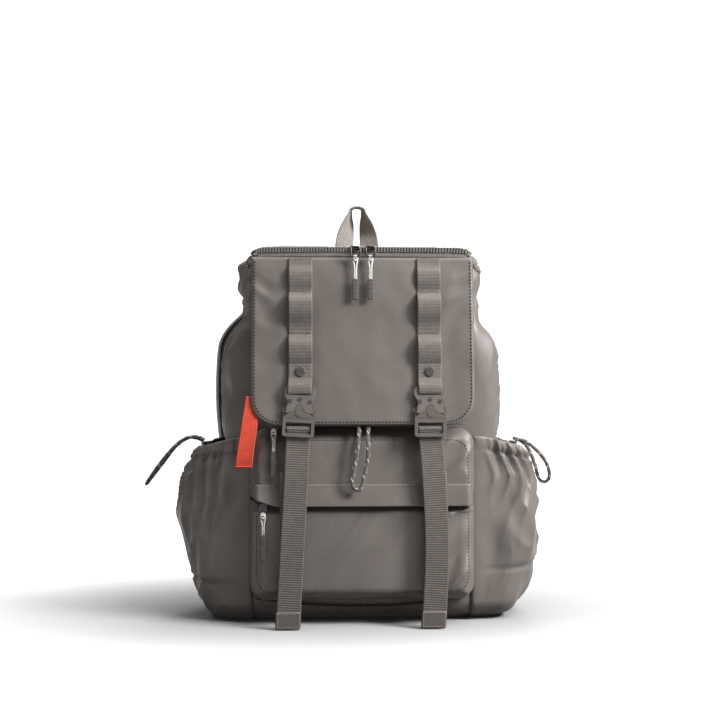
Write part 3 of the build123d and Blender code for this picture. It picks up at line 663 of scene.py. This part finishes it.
x, v, deep = rounded_grid(FLAP_HALF, FLAP_LOW, FLAP_TOP, FLAP_RADIUS, 3.2, "bottom")
w = flap_height(x, v) - 1.3 * (1 - dome(deep, 3.5))
flap_skin = cloth("main_flap_skin", on_flap(x, v, w), thickness=1.5, lined=True)
attach(flap_skin, "flap", "main_flap", slot="shell_nylon")
edge = outline_path(FLAP_HALF, FLAP_LOW, FLAP_TOP, FLAP_RADIUS, 3.4, "bottom")
a, v = walk(np.roll(edge, 1, axis=0), 1.0).T
seam = on_flap(a, v, flap_height(a, v) + 0.1)
attach(stitches("flap_stitches", [(seam, FLAP_OUT)], DARK_THREAD, 3.7, 2.4, 0.78), "flap")

# ---- closing straps
TACKS = (-36.5, -81.0)
DAISY_KNOTS = [
    (-1.2, 3.1), (-9, 3.6), (-17, 6.2), (-26, 5.8), (-34.5, 3.1), (-38, 3.0), (-41, 5.2), (-48, 10.2),
    (-60, 9.2), (-71, 4.6), (-79, 3.0), (-83, 3.0), (-86, 5.2), (-94, 9.4), (-106, 8.2), (-118, 3.8),
    (-130, 3.3), (-137, 5.2), (-142.5, 5.7)]
BUCKLE_LOOP = [
    (-145.4, 6.5), (-146.2, 7.7), (-145.4, 9.0), (-142.5, 9.6), (-138, 9.5), (-133, 7.3), (-129, 5.7),
    (-122.5, 5.3), (-114.5, 5.3)]


def upper_strap(side):
    """Daisy-chain webbing: tacked down in three places and slack between them, then through the buckle."""
    sx = STRAP_X[side]
    lean = -0.06 if side == "left" else 0.02
    path = [on_flap(sx + lean * max(0, -v - 128), v, w) for v, w in DAISY_KNOTS + BUCKLE_LOOP]
    strap = ribbon(f"closing_webbing_{side}", path, STRAP, rib=0.06, pitch=1.5)
    attach(strap, "flap", f"upper_strap_{side}", slot="webbing")
    rows = [(on_flap([sx - 11.5, sx + 11.5], v + k, 3.85), FLAP_OUT) for v in TACKS for k in (-0.7, 0.7)]
    attach(stitches(f"bar_tacks_{side}", rows, THREAD, 2.0, 1.7, 0.4), "flap")


for side in SIDES:
    upper_strap(side)

# ---- tails and anchors
FOLD_RADIUS = 2.35
TAB_HALF, TAB_LOW, TAB_TOP, TAB_RADIUS = 13.2, 0.9, 19.5, 2.2


def tail(side):
    """The long lower webbing: folded round the buckle's bar and hanging to a stitched end tab."""
    bar = np.mean(box_mm(f"buckle_bar_{side}"), axis=0)
    body = f"lower_strap_{side}"
    if side == "left":
        foot_x, sway, tab_lean = box_mm(body)[0][0] + 12.6, (-2.5, -6.5), 0.06 * 0.4
    else:
        foot_x, sway, tab_lean = STRAP_X[side] + 3, (4, 6.5), 0.06
    way = profile((0, foot_x), (80, bar[0] + sway[1]), (150, bar[0] + sway[0]), (205, bar[0]), (215, bar[0]))
    r = FOLD_RADIUS
    bend = [(r, -4), (r, 0), (0.7 * r, 0.75 * r), (0, r), (-0.7 * r, 0.75 * r), (-r, 0), (-1.4, -4.5),
            (-0.9, -10), (-1.6, -20), (-3.2, -36)]
    knots = [(bar[1] + y, bar[2] + z) for y, z in bend]
    knots += [(-103.6, 145), (-105.0, 100), (-105.2, 60), (-105.9, 30), (-106.1, 3)]
    path = [(float(way(z)), y, z) for y, z in knots]
    face = ribbon(f"tail_webbing_{side}", path, TAIL, rib=0.1, pitch=2.4)
    attach(face, body, body, slot="webbing")
    cx = path[-1][0]
    x, z, deep = rounded_grid(TAB_HALF, TAB_LOW, TAB_TOP, TAB_RADIUS, 1.1)
    # The end tabs take the darker copy of the shell nylon, as painted shade.
    tab = cloth(f"tail_end_{side}", (x + cx + tab_lean * (z - 10), -106.0 - 1.5 * dome(deep, 1.6), z),
                SHELL_SHADED, 2.6)
    attach(tab, body, slot="shell_nylon")
    edge = outline_path(TAB_HALF, TAB_LOW, TAB_TOP, TAB_RADIUS, 2.0)
    line = [(a + cx, -107.55, b) for a, b in edge + edge[:1]]
    seam = stitches(f"tail_end_stitches_{side}", [(line, FORWARD)], THREAD, 2.6, 1.8, 0.42)
    attach(seam, body)
    for piece in (face, tab, seam):        # each piece gets a mesh of its own
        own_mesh(piece)


for side in SIDES:
    tail(side)
(anchor_left, _, anchor_low), (anchor_right, _, anchor_high) = box_mm("anchor_webbings")
for side, foot_x in (("left", anchor_left + 11.5), ("right", anchor_right - 11.5)):
    path = [(foot_x, -92.9, anchor_low), (foot_x, -93.0, anchor_low + 16), (foot_x, -96, anchor_low + 25),
            (foot_x, -99.3, anchor_low + 36), (foot_x, -99.5, 120), (foot_x, -99.5, anchor_high)]
    strap = ribbon(f"anchor_webbing_{side}", path, STRAP, width=22.5, rib=0.1)
    attach(strap, "root", *(["anchor_webbings"] if side == "left" else []), slot="webbing")

# ---- zips
TOOTH_PITCH = 3.1
TOOTH_LENGTH, TOOTH_WIDTH, TOOTH_HEIGHT = 1.05, 1.35, 1.25      # half sizes
BLOCK_FACES = ((3, 2, 1, 0), (4, 5, 6, 7), (0, 1, 5, 4), (1, 2, 6, 5), (2, 3, 7, 6), (3, 0, 4, 7))


def zip_teeth(name, path, out, body, *nodes):
    """A row of moulded teeth along a path; out is the outward direction."""
    line = smooth_path(path, TOOTH_PITCH)
    points, faces = [], []
    for p, t in zip(line, unit(np.gradient(line, axis=0))):
        o = unit(np.array(out, float) - t * (np.array(out) @ t))
        a, b, c = t * TOOTH_LENGTH, o * TOOTH_HEIGHT, np.cross(t, o) * TOOTH_WIDTH
        faces += [tuple(len(points) + i for i in face) for face in BLOCK_FACES]
        points += [p + sa * a + sb * b + sc * c for sc in (-1, 1)
                   for sa, sb in ((-1, -1), (1, -1), (1, 1), (-1, 1))]
    row = make_mesh(name, points, faces, TEETH, smooth=False)
    edge = row.modifiers.new("bevel", "BEVEL")
    edge.width, edge.segments = 0.00018, 1
    return attach(row, body, *nodes, slot="zip")


TOP_RUN = mirrored([(-113, -70.4, 393.6), (-105, -71.6, 396.2), (-60, -72.3, 396.9)], (0, -72.5, 397.1))


def corner_run(sign, foot):
    """Down the front corner of the body from the top run's end, keeping to the skin."""
    z = np.linspace(388, foot, 8)
    angle = -pi / 2 + sign * (0.95 + 0.35 * ramp(z, 388, -16))
    skin_line = body_point(angle, z) * [1.004, 1.015, 1]
    return [(sign * 114.5, -70.2, 393.0)] + [tuple(q) for q in skin_line]


zip_teeth("body_zip_teeth_row", TOP_RUN, (0, -1, -0.25), "root", "body_zip_teeth")
zip_teeth("body_zip_left", corner_run(-1, 352), (-0.5, -1, 0), "root")
zip_teeth("body_zip_right", corner_run(1, 376), (0.5, -1, 0), "root")
lid_run = [(x + 0.3, y - 0.1, z + 2.75) for x, y, z in TOP_RUN]
zip_teeth("lid_zip_row", lid_run, (0, -1, -0.25), "lid", "lid_zip_teeth")
tape_run = mirrored([(-122.5, -66.4, 386.5), (-119, -68, 392)], *TOP_RUN)
tape_run = [(x, y + 0.6, z - 3.6) for x, y, z in tape_run]
tape = ribbon("body_zip_tape_band", tape_run, TAPE, UPWARD, 6.4, 0.9, step=2)
attach(tape, "root", "body_zip_tape", slot="zip")
hidden_z = STORM_LOW + 3
lower_run = [(-104, -92.6, hidden_z), (0, -94.2, hidden_z), (108, -92.6, hidden_z)]
zip_teeth("pocket_zip_lower_row", lower_run, FORWARD, "root", "pocket_zips")
upper_run = [(-104, -76.9, 213), (0, -77.2, 213.4), (108, -76.9, 213)]
zip_teeth("pocket_zip_upper_row", upper_run, (0, -1, 0.2), "root")

# ---- lid
x, y, deep = rounded_grid(120, -71.5, 64, 20, 2.6)
soft = rough(x, y, y * 0, 60, 31) * 0.5
z = 400.2 + 1.5 * dome(deep, 7) + soft * dome(deep, 30) - 4.6 * ramp(np.abs(x), 100, 20) ** 2
attach(cloth("lid_skin", (x, y, z), thickness=1.4, lined=True), "lid", "lid", slot="shell_nylon")

# The lid's fabric hinge: it turns over the back rim.
fold_line = smooth_path([(0, 69.4, 382), (0, 69.7, 391), (0, 69.3, 398), (0, 67.4, 402.2), (0, 64, 403.4),
                         (0, 57, 403.2)], 0.8)
X, K = np.meshgrid(np.linspace(-103, 103, 70), np.arange(len(fold_line)))
ripple = rough(X, K * 2.0, K * 0, 26, 12) * 0.3
hinge_grid = (X, fold_line[K, 1] + ripple, fold_line[K, 2])
hinge_fabric = cloth("lid_hinge_fabric", hinge_grid, thickness=1.0, flip=True)
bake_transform(hinge_fabric)

# ---- haul handle
# Half of the loop and of its width directions, from the left foot to just before the crown.
HANDLE_Y = 73.4
LEG = [(-15.8, 398), (-15.2, 412), (-13.2, 428), (-10.0, 443), (-7.9, 453), (-6.6, 458), (-3.2, 460.2)]
TWIST = [(1, 0.1, 0.2), (1, 0.2, 0.3), (1, 0.35, 0.4), (0.8, 0.7, 0.4), (0.25, 1, 0.1)]
loop = [(x, HANDLE_Y, z) for x, z in mirrored(LEG, (0, 460.5))]
twist = mirrored(TWIST, (0, 1, 0))
handle = ribbon("haul_handle_webbing", loop, GREY_STRAP, twist, 22, 1.6, rib=0.1, pitch=1.3)
attach(handle, "handle", "haul_handle", slot="handle_webbing")

# ---- back and shoulder straps
x, z, deep = rounded_grid(95, 62, 330, 26, 4.5)
channels = 1 - 0.8 * bell(np.abs(x), 12, 7, 4) * ramp(deep, 0, 12)
quilt = 1 - 0.35 * bell((z - 110) % 62, 31, 3.0)
y = 70.2 + 8.4 * dome(deep, 12) * channels * quilt + rough(x, z, z * 0, 40, 2) * 0.5
back = cloth("back_padding_skin", (x, y, z), PAD, 1.5, flip=True)
attach(back, "root", "back_padding", slot="mesh_padding")

OUTER = profile(
    (90, 145.5), (120, 152), (150, 157), (184, 160.5), (220, 164), (250, 164.7), (268, 164.2), (292, 162.5),
    (303, 160), (311, 156), (319, 150.5), (327, 143.5), (335, 134), (346, 123), (370, 112), (395, 101),
    (416, 93))
INNER = profile((90, 119), (130, 110), (190, 103), (250, 101), (310, 93), (360, 71), (395, 46), (416, 31))
STRAP_BACK = profile((90, 85), (97, 86), (150, 98.5), (215, 105), (262, 106.5), (320, 102), (380, 88),
                     (416, 76.5))


def shoulder_strap(side):
    """A padded strap: a full middle, flat stitched edges and an edge binding."""
    sign = SIDES[side]
    body = f"shoulder_strap_{side}"
    z = np.linspace(96, 415, 130)[:, None]
    across = np.linspace(-1, 1, 19)
    a, face = np.array([(k, 1) for k in across] + [(k, -1) for k in across[-2:0:-1]]).T
    inner, outer, middle_y = INNER(z), OUTER(z), STRAP_BACK(z)
    slope = (STRAP_BACK(z + 2) - STRAP_BACK(z - 2)) / 4
    end = np.minimum(1, np.minimum((z - 95) / 10 + 0.35, (416.5 - z) / 12 + 0.3))
    thick = 5.2 * (1 - 0.86 * np.abs(a) ** 7) * end
    lump = 0.4 * np.sin(z / 17 + a) + 0.3 * np.sin(z / 7.3 + 2 * a)
    points = join(sign * ((inner + outer) / 2 + (outer - inner) / 2 * a),
                  middle_y - 1.2 + face * (thick + lump * 0.5 * (1 - a * a)), z - face * slope * thick * 0.3)
    faces = tube_faces(*points.shape[:2])
    if sign < 0:
        faces = [f[::-1] for f in faces]
    pad = make_mesh(f"shoulder_pad_{side}", points, faces, PAD, join(np.linspace(0, 130, len(a)), z))
    attach(pad, body, body, slot="mesh_padding")
    for name, edge_x, set_in in (("inner", inner + 0.5, 1.2), ("outer", outer + 1.5, 2.4)):
        rim = np.hstack([sign * edge_x, middle_y - set_in, z])
        rim = np.vstack([rim[::6], rim[-1:]])
        binding = ribbon(f"strap_binding_{name}_{side}", rim, EDGE_TAPE, (0, 1, 0), 6.5, 3.4, rib=0.14,
                         pitch=2.0, step=0.8)
        attach(binding, body, slot="handle_webbing")
    lx, ly, _ = np.mean(box_mm(f"ladder_lock_{side}"), axis=0)
    path = [(lx, 93.4, 95), (lx, ly - 0.5, 84), (lx, ly - 3, 74), (lx, 82, 56), (lx, 76.5, 42), (lx, 74, 34)]
    web = ribbon(f"adjuster_webbing_{side}", path, STRAP, width=19.5, rib=0.1)
    attach(web, body, f"strap_webbing_{side}", slot="webbing")


for side in SIDES:
    shoulder_strap(side)

# ---- ribbon tag
TAG_LEAN = 0.075
TAG_OUT = np.array([0, -1, TAG_LEAN]) / hypot(1, TAG_LEAN)
TAG_UP = np.array([0, TAG_LEAN, 1]) / hypot(1, TAG_LEAN)
on_tag = plane(np.array(JOINTS["tag_swing"]["pos_m"]) / MM, TAG_UP, TAG_OUT)


def tag_leg(name, w, lift, *nodes):
    """One leg of the folded ribbon, a little bowed, with its edges curled and its foot turned under."""
    t, s = np.meshgrid(np.linspace(-1, 1, 22), np.linspace(0, 1, 60))
    left = -8 + (-19.3 + 8) * s
    right = 8 + (-1.8 - 8) * s
    a = (left + right) / 2 + (right - left) / 2 * t
    b = -4 - (72 + 3 * (t + 1) / 2 * 0.9) * s - 1.4 * s * (1 - t)
    wave = 0.5 * np.sin(s * 5 + t) + 0.5 * t ** 2
    turned = 26 * np.clip(s - 0.86, 0, 1) ** 1.5 * (1 if w > 0 else 0.2)
    height = w + lift * s + wave * s * 0.8 + 2.2 * np.sin(pi * s) * (w > 0) - turned
    leg = cloth(name, on_tag(a, b, height), RIBBON, 0.7)
    attach(leg, "tag", *nodes, slot="ribbon")


tag_leg("ribbon_tag_front", 1.1, 0.6, "ribbon_tag")
tag_leg("ribbon_tag_back", -0.9, 0.3)
foot_line = on_tag(np.linspace(-19, -2, 12), -77.6, 0.5)
fold = ribbon("ribbon_tag_fold", foot_line, RIBBON, TAG_OUT, 3.2, 1.2, step=1.0)
attach(fold, "tag", slot="ribbon")

# ---- cords
LEFT_CORD = [
    (-174, -12, 191), (-182, -13, 196), (-196, -15, 193.5), (-211, -17, 179), (-225, -16, 161),
    (-236, -10, 145), (-238.5, 2, 141), (-233, 12, 149), (-220, 15, 166), (-207, 13, 184), (-193, 8, 193.5),
    (-181, 5, 195), (-174, 4, 191)]
RIGHT_CORD = [
    (174, -12, 191), (183, -14, 192), (194, -16, 183), (205, -17, 172), (212, -15, 158), (213, -12, 147),
    (206.5, -10, 142.5), (200.5, -8, 148), (198.5, -4, 161), (193.5, 0.5, 177), (185, 3, 189.5),
    (174, 4, 192.5)]
CENTRE_CORD = [
    (-5, -72, 222), (-5.5, -80, 219.5), (-5, -88, 212), (-4.5, -94.5, 203), (-6, -98, 191),
    (-8, -99.5, 176), (-10.8, -100.5, 162), (-12.6, -101, 151), (-9.4, -101, 144.8), (-3.9, -101, 144.9),
    (-1.2, -101, 150.8), (0.6, -100.8, 160), (3.2, -100.2, 171), (5, -99.5, 183), (4.5, -97, 196),
    (5, -91, 207.5), (5.5, -82, 217.5), (5, -72, 222)]


def cord_line(name, route, diameter, material):
    """A round cord whose centre line is a NURBS through the route's own points; also gives that line."""
    curve = bpy.data.curves.new(name, "CURVE")
    curve.dimensions = "3D"
    spline = curve.splines.new("NURBS")
    spline.points.add(len(route) - 1)
    for point, place in zip(spline.points, route):
        point.co = (place[0] * MM, place[1] * MM, place[2] * MM, 1)
    spline.order_u = 3
    spline.use_endpoint_u = True
    spline.resolution_u = 14
    plain = curve.copy()
    holder = bpy.data.objects.new(name + "_line", plain)      # unlinked, to measure the line
    mesh = bpy.data.meshes.new_from_object(holder)
    centre = np.array([v.co[:] for v in mesh.vertices]) / MM
    bpy.data.objects.remove(holder)
    bpy.data.meshes.remove(mesh)
    bpy.data.curves.remove(plain)
    curve.bevel_depth = diameter / 2 * MM
    curve.bevel_resolution = 5
    curve.use_fill_caps = True
    curve.materials.append(material)
    return add(name, curve), centre


def flecks(name, centre, diameter, body):
    """Pale tracer stitches that wind round the cord in short slanting dashes."""
    pitch, step = 8.5, 0.5
    line = walk(centre, step)
    tangent = unit(np.gradient(line, axis=0))
    side = unit(np.cross(tangent, [0, -1, 0.2]))
    up = np.cross(side, tangent)
    points, faces = [], []
    dash = int(4.2 / step)
    for strand in range(2):
        for begin in range(int(strand * pitch), len(line) - dash, int(pitch / step)):
            first = len(points)
            for k in range(dash + 1):
                i = begin + k
                angle = 2 * pi * i * step / (pitch * 2.2) + strand * pi
                taper = sin(pi * (k + 0.4) / (dash + 0.8)) ** 0.5
                for d in (-0.2, 0.0, 0.2):
                    r = diameter / 2 + (0.12 if d == 0 else 0.02)
                    a = angle + d * taper * 1.3
                    points.append(line[i] + (side[i] * cos(a) + up[i] * sin(a)) * r)
            corners = [first + 3 * k + c for k in range(dash) for c in range(2)]
            faces += [(a, a + 3, a + 4, a + 1) for a in corners]
    piece = make_mesh(name, points, faces, FLECK)
    piece.modifiers.new("thickness", "SOLIDIFY").thickness = -0.00025
    return attach(piece, body)


def hang_cord(cord, centre, start, diameter, stiffness, **more):
    [c * MM for c in start]
    float(travel(centre)[-1]) * MM


for name, route, node, thick in (("left", LEFT_CORD, "side_cord_left", 3.8),
                                 ("right", RIGHT_CORD, "side_cord_right", 3.8),
                                 ("centre", CENTRE_CORD, "centre_cord", 4.0)):
    cord, centre = cord_line(f"drawcord_{name}", route, thick, GREY_CORD)
    attach(cord, "root", node, slot="cord")
    marks = flecks(f"drawcord_flecks_{name}", centre, thick, "root")
    hang_cord(cord, centre, route[0], thick, "medium", with_pieces=[marks])

# ---- zip pulls
PULL_AXIS = np.array([0, -76.5, 398.6])
PULL_OFFSET, PULL_STAND = 8.0, 4.6
PULL_CORD, LINK_WIRE = 1.7, 2.3
KNOT = [(-1.9, -6.5, 0.9), (-0.6, -4.8, 1.4), (1.5, -5.4, 0.9), (1.8, -7.6, 0.2), (0.1, -8.6, 1.3),
        (-1.7, -7.6, 0.3)]
LINK = mirrored([(-4.4, 0.4, -0.4), (-4.9, -2.4, 0.5), (-4.6, -7.6, 0.7), (-2.6, -9.9, 0.8)])


def ribbed_grip(name, place, half_width, high, low, thick, body, node):
    """A moulded pull: a rounded bar with fine ribs, plain near both ends."""
    x, z, deep = rounded_grid(half_width, low, high, 1.7, 0.55)
    ribs = 0.22 * np.cos(2 * pi * z / 1.7) * ramp(deep, 0.8, 0.5)
    ribs = np.where((z < low + 3) | (z > high - 4), 0, ribs)
    h = thick / 2 * (0.35 + 0.65 * dome(deep, 1.2)) + ribs * 0.7
    rows, columns = x.shape
    n = rows * columns
    faces = grid_faces(rows, columns)
    faces += [tuple(n + i for i in f[::-1]) for f in faces]
    order = np.arange(n).reshape(rows, columns)
    rim = np.concatenate([order[0], order[1:, -1], order[-1, -2::-1], order[-2:0:-1, 0]]).tolist()
    faces += [(b, a, n + a, n + b) for a, b in zip(rim, rim[1:] + rim[:1])]
    grip = make_mesh(name, [place(x, z, h), place(x, z, -h)], faces, GRIP)
    return attach(grip, body, node, slot="pull_tab")


def zip_pull(stem, which, names, place, drop, ends, grip, thick):
    """A pull's doubled cord, moulded grip and knot; drop lowers the knot and the cord's fold."""
    body = f"{stem}_{which}"
    cord_name, grip_name, knot_name = (f"{name}_{which}" for name in names)
    half = [(-0.9, ends[0]), (-0.9, ends[1]), (-1.0, -14 - drop), (-2.5, -8 - drop), (-1.9, -3.2 - drop)]
    route = [tuple(place(a, b, 0.0)) for a, b in mirrored(half)]
    cord, centre = cord_line(cord_name, route, PULL_CORD, WHITE_CORD)
    attach(cord, body, f"{stem}_cord_{which}", slot="pull_cord")
    hang_cord(cord, centre, route[0], PULL_CORD, "limp")
    ribbed_grip(grip_name, place, 3.2, *grip, thick, body, f"{stem}_tab_{which}")
    knot, _ = cord_line(knot_name, [tuple(place(a, b - drop, c)) for a, b, c in KNOT], PULL_CORD, WHITE_CORD)
    attach(knot, body, slot="pull_cord")


for side, sign in SIDES.items():
    place = plane(PULL_AXIS + [sign * PULL_OFFSET, 0, 0] + PULL_STAND * FLAP_OUT, FLAP_UP, FLAP_OUT)
    zip_pull("top_pull", side, ("zip_pull_cord", "zip_grip", "zip_pull_knot"), place, 5, (-33.5, -27),
             (-33.0, -55.3), 2.7)
    ring, _ = cord_line(f"zip_link_{side}", [tuple(place(*p)) for p in LINK], LINK_WIRE, SLIDER)
    attach(ring, f"top_pull_{side}", slot="slider_metal")

for level, origin, lean, top in (("upper", (-94, -90.4, 211), 0.08, -27),
                                 ("lower", (-105, -95.8, 123.6), 0.0, -26)):
    out = np.array([0, -1, lean]) / hypot(1, lean)
    up = np.array([0, lean, 1]) / hypot(1, lean)
    zip_pull("pocket_pull", level, ("pocket_pull_cord_piece", "pocket_grip", "pocket_pull_knot"),
             plane(origin + 0.6 * out, up, out), 0, (top + 0.5, top + 6), (top + 0.3, top - 26.5), 2.6)


# ---- pocket stitching
def pocket_seam(name, face, corners, normal=FORWARD, length=2.1, radius=0.55):
    """Dark stitches on a pocket's face, along straight runs between corners."""
    x, z = walk(corners, 1.2).T
    attach(stitches(name, [(join(x, face(x, z), z), normal)], DARK_THREAD, 3.6, length, radius), "root")


pocket_seam("upper_pocket_stitches", lambda x, z: upper_face(x, z) - 0.15,
            mirrored([(-111, 150), (-111, 182), (-107.5, 191), (-100, 196)]), (0, -1, 0.1))
pocket_seam("lower_pocket_stitches", lambda x, z: lower_face(x, z) - 0.15,
            mirrored([(-112, 118), (-112, 52), (-108, 41), (-98, 36)]))
pocket_seam("storm_flap_stitches", lambda x, z: FRONT_SKIN - 24.2,
            [(-112, STORM_TOP + 0.8), (112, STORM_TOP + 0.8)], length=2.2, radius=0.6)

base_x = np.linspace(-114, 114, 60)
seam = join(base_x, FRONT_SKIN - 0.5, 20.5 + 9.5 * (base_x / 114) ** 2)
attach(stitches("base_seam_stitches", [(seam, FORWARD)], THREAD, 3.6, 2.2, 0.55), "root")
# The welt takes the darker copy of the shell nylon, as painted shade.
welt = ribbon("base_welt", seam[::4] - [0, 0, 3.2], SHELL_SHADED, UPWARD, 3.4, 1.6, step=2)
attach(welt, "root", slot="shell_nylon")

# ---- parts that keep their CAD meshes
CAD_FINISHES = (("buckle_plate", BUCKLE), ("buckle_frame", BUCKLE_FRAME), ("buckle_clip", BUCKLE_FRAME),
                ("buckle_bar", BUCKLE_DARK), ("buckle_rivets", BUCKLE_DARK), ("snap_buttons", BUCKLE_DARK),
                ("cord_eyelets", BUCKLE_DARK), ("ladder_lock", LOCK))
for name, node in frame["nodes"].items():
    fallback = SLIDER if "slider" in name else None
    kind = next((m for stem, m in CAD_FINISHES if name.startswith(stem)), fallback)
    if kind:
        node.data.materials.clear()
        node.data.materials.append(kind)
        edge = node.modifiers.new("edge", "BEVEL")
        edge.width, edge.segments, edge.limit_method = 0.00045, 3, "ANGLE"
        edge.harden_normals = True

# ---- floor, light and camera
ROOM_X, ROOM_FRONT, ROOM_BACK, ROOM_TOP = 5, -4, 3, 4
WHITE = (1, 1, 1, 1)


def stage_sheet(name, corners, material, faces=((0, 1, 2, 3),)):
    """A flat part of the set; no light bounces off it onto the bag."""
    mesh = bpy.data.meshes.new(name)
    mesh.from_pydata(corners, [], faces)
    mesh.materials.append(material)
    sheet = add(name, mesh)
    sheet.visible_diffuse = False
    return sheet


# The paper is grey near the bag, as a painted shadow, and fades to a glowing white around it, wider than
# deep.
paper = Finish("paper", (0.44, 0.44, 0.44, 1), 0.9, specular=0.05)
flatten = paper.vector("MULTIPLY", paper.place())
flatten.inputs[1].default_value = (0.5, 1, 1)
away = paper.vector("LENGTH", flatten.outputs["Vector"])
painted_shadow_fade = paper.node("ShaderNodeMapRange", **{"From Min": 0.1, "From Max": 0.36})
painted_shadow_fade.interpolation_type = "SMOOTHSTEP"
paper.links.new(away.outputs["Value"], painted_shadow_fade.inputs["Value"])
paper.links.new(painted_shadow_fade.outputs["Result"], paper.shader.inputs["Emission Strength"])
paper.set(paper.shader, {"Emission Color": WHITE})
glow = Finish("glow", (0.9, 0.9, 0.9, 1), 1.0, specular=0.0)
glow.set(glow.shader, {"Emission Color": WHITE, "Emission Strength": 1.0})
corners = [(-ROOM_X, ROOM_FRONT), (ROOM_X, ROOM_FRONT), (ROOM_X, ROOM_BACK), (-ROOM_X, ROOM_BACK)]
stage_sheet("floor", [(x, y, 0) for x, y in corners], paper.material)
walls = stage_sheet("backdrop", [(x, y, z) for z in (-0.02, ROOM_TOP) for x, y in corners], glow.material,
                    [(k, (k + 1) % 4, (k + 1) % 4 + 4, k + 4) for k in range(4)])
walls.visible_glossy = walls.visible_shadow = False

world = bpy.data.worlds.new("studio")
bpy.context.scene.world = world
world.use_nodes = True
sky = world.node_tree.nodes["Background"].inputs
sky["Color"].default_value, sky["Strength"].default_value = WHITE, 0.09


def lamp(name, place, aim, size, power):
    data = bpy.data.lights.new(name, "AREA")
    data.shape, data.size, data.size_y = "RECTANGLE", size[0], size[1]
    data.energy = power
    obj = add(name, data)
    obj.location = place
    obj.rotation_mode = "QUATERNION"
    obj.rotation_quaternion = (Vector(aim) - Vector(place)).to_track_quat("-Z", "Y")


lamp("key", (1.1, -0.66, 1.02), (0.03, 0, 0.32), (0.4, 0.5), 34)
lamp("front", (0.75, -0.95, 1.78), (0, 0, 0.36), (0.5, 0.45), 12)
lamp("top", (0.25, 0.2, 2.0), (0.1, 0.1, 0), (1.8, 1.8), 32)
lamp("left", (-1.0, -0.35, 1.5), (-0.14, 0, 0.3), (0.3, 0.3), 3.6)
lamp("back", (0.5, 1.7, 1.3), (0, 0, 0.22), (0.8, 0.8), 13)

EYE_AZIMUTH, EYE_DISTANCE, EYE_HEIGHT = radians(-2.5), 1.405, 0.281
camera = bpy.data.cameras.new("camera")
camera.lens, camera.sensor_width = 62.6, 36
camera.clip_start, camera.clip_end = 0.05, 30
eye = add("camera", camera)
eye.location = (sin(EYE_AZIMUTH) * EYE_DISTANCE, -cos(EYE_AZIMUTH) * EYE_DISTANCE, EYE_HEIGHT)
eye.rotation_euler = (pi / 2, 0, EYE_AZIMUTH)
bpy.context.scene.camera = eye
bpy.context.scene.view_settings.view_transform = "Standard"
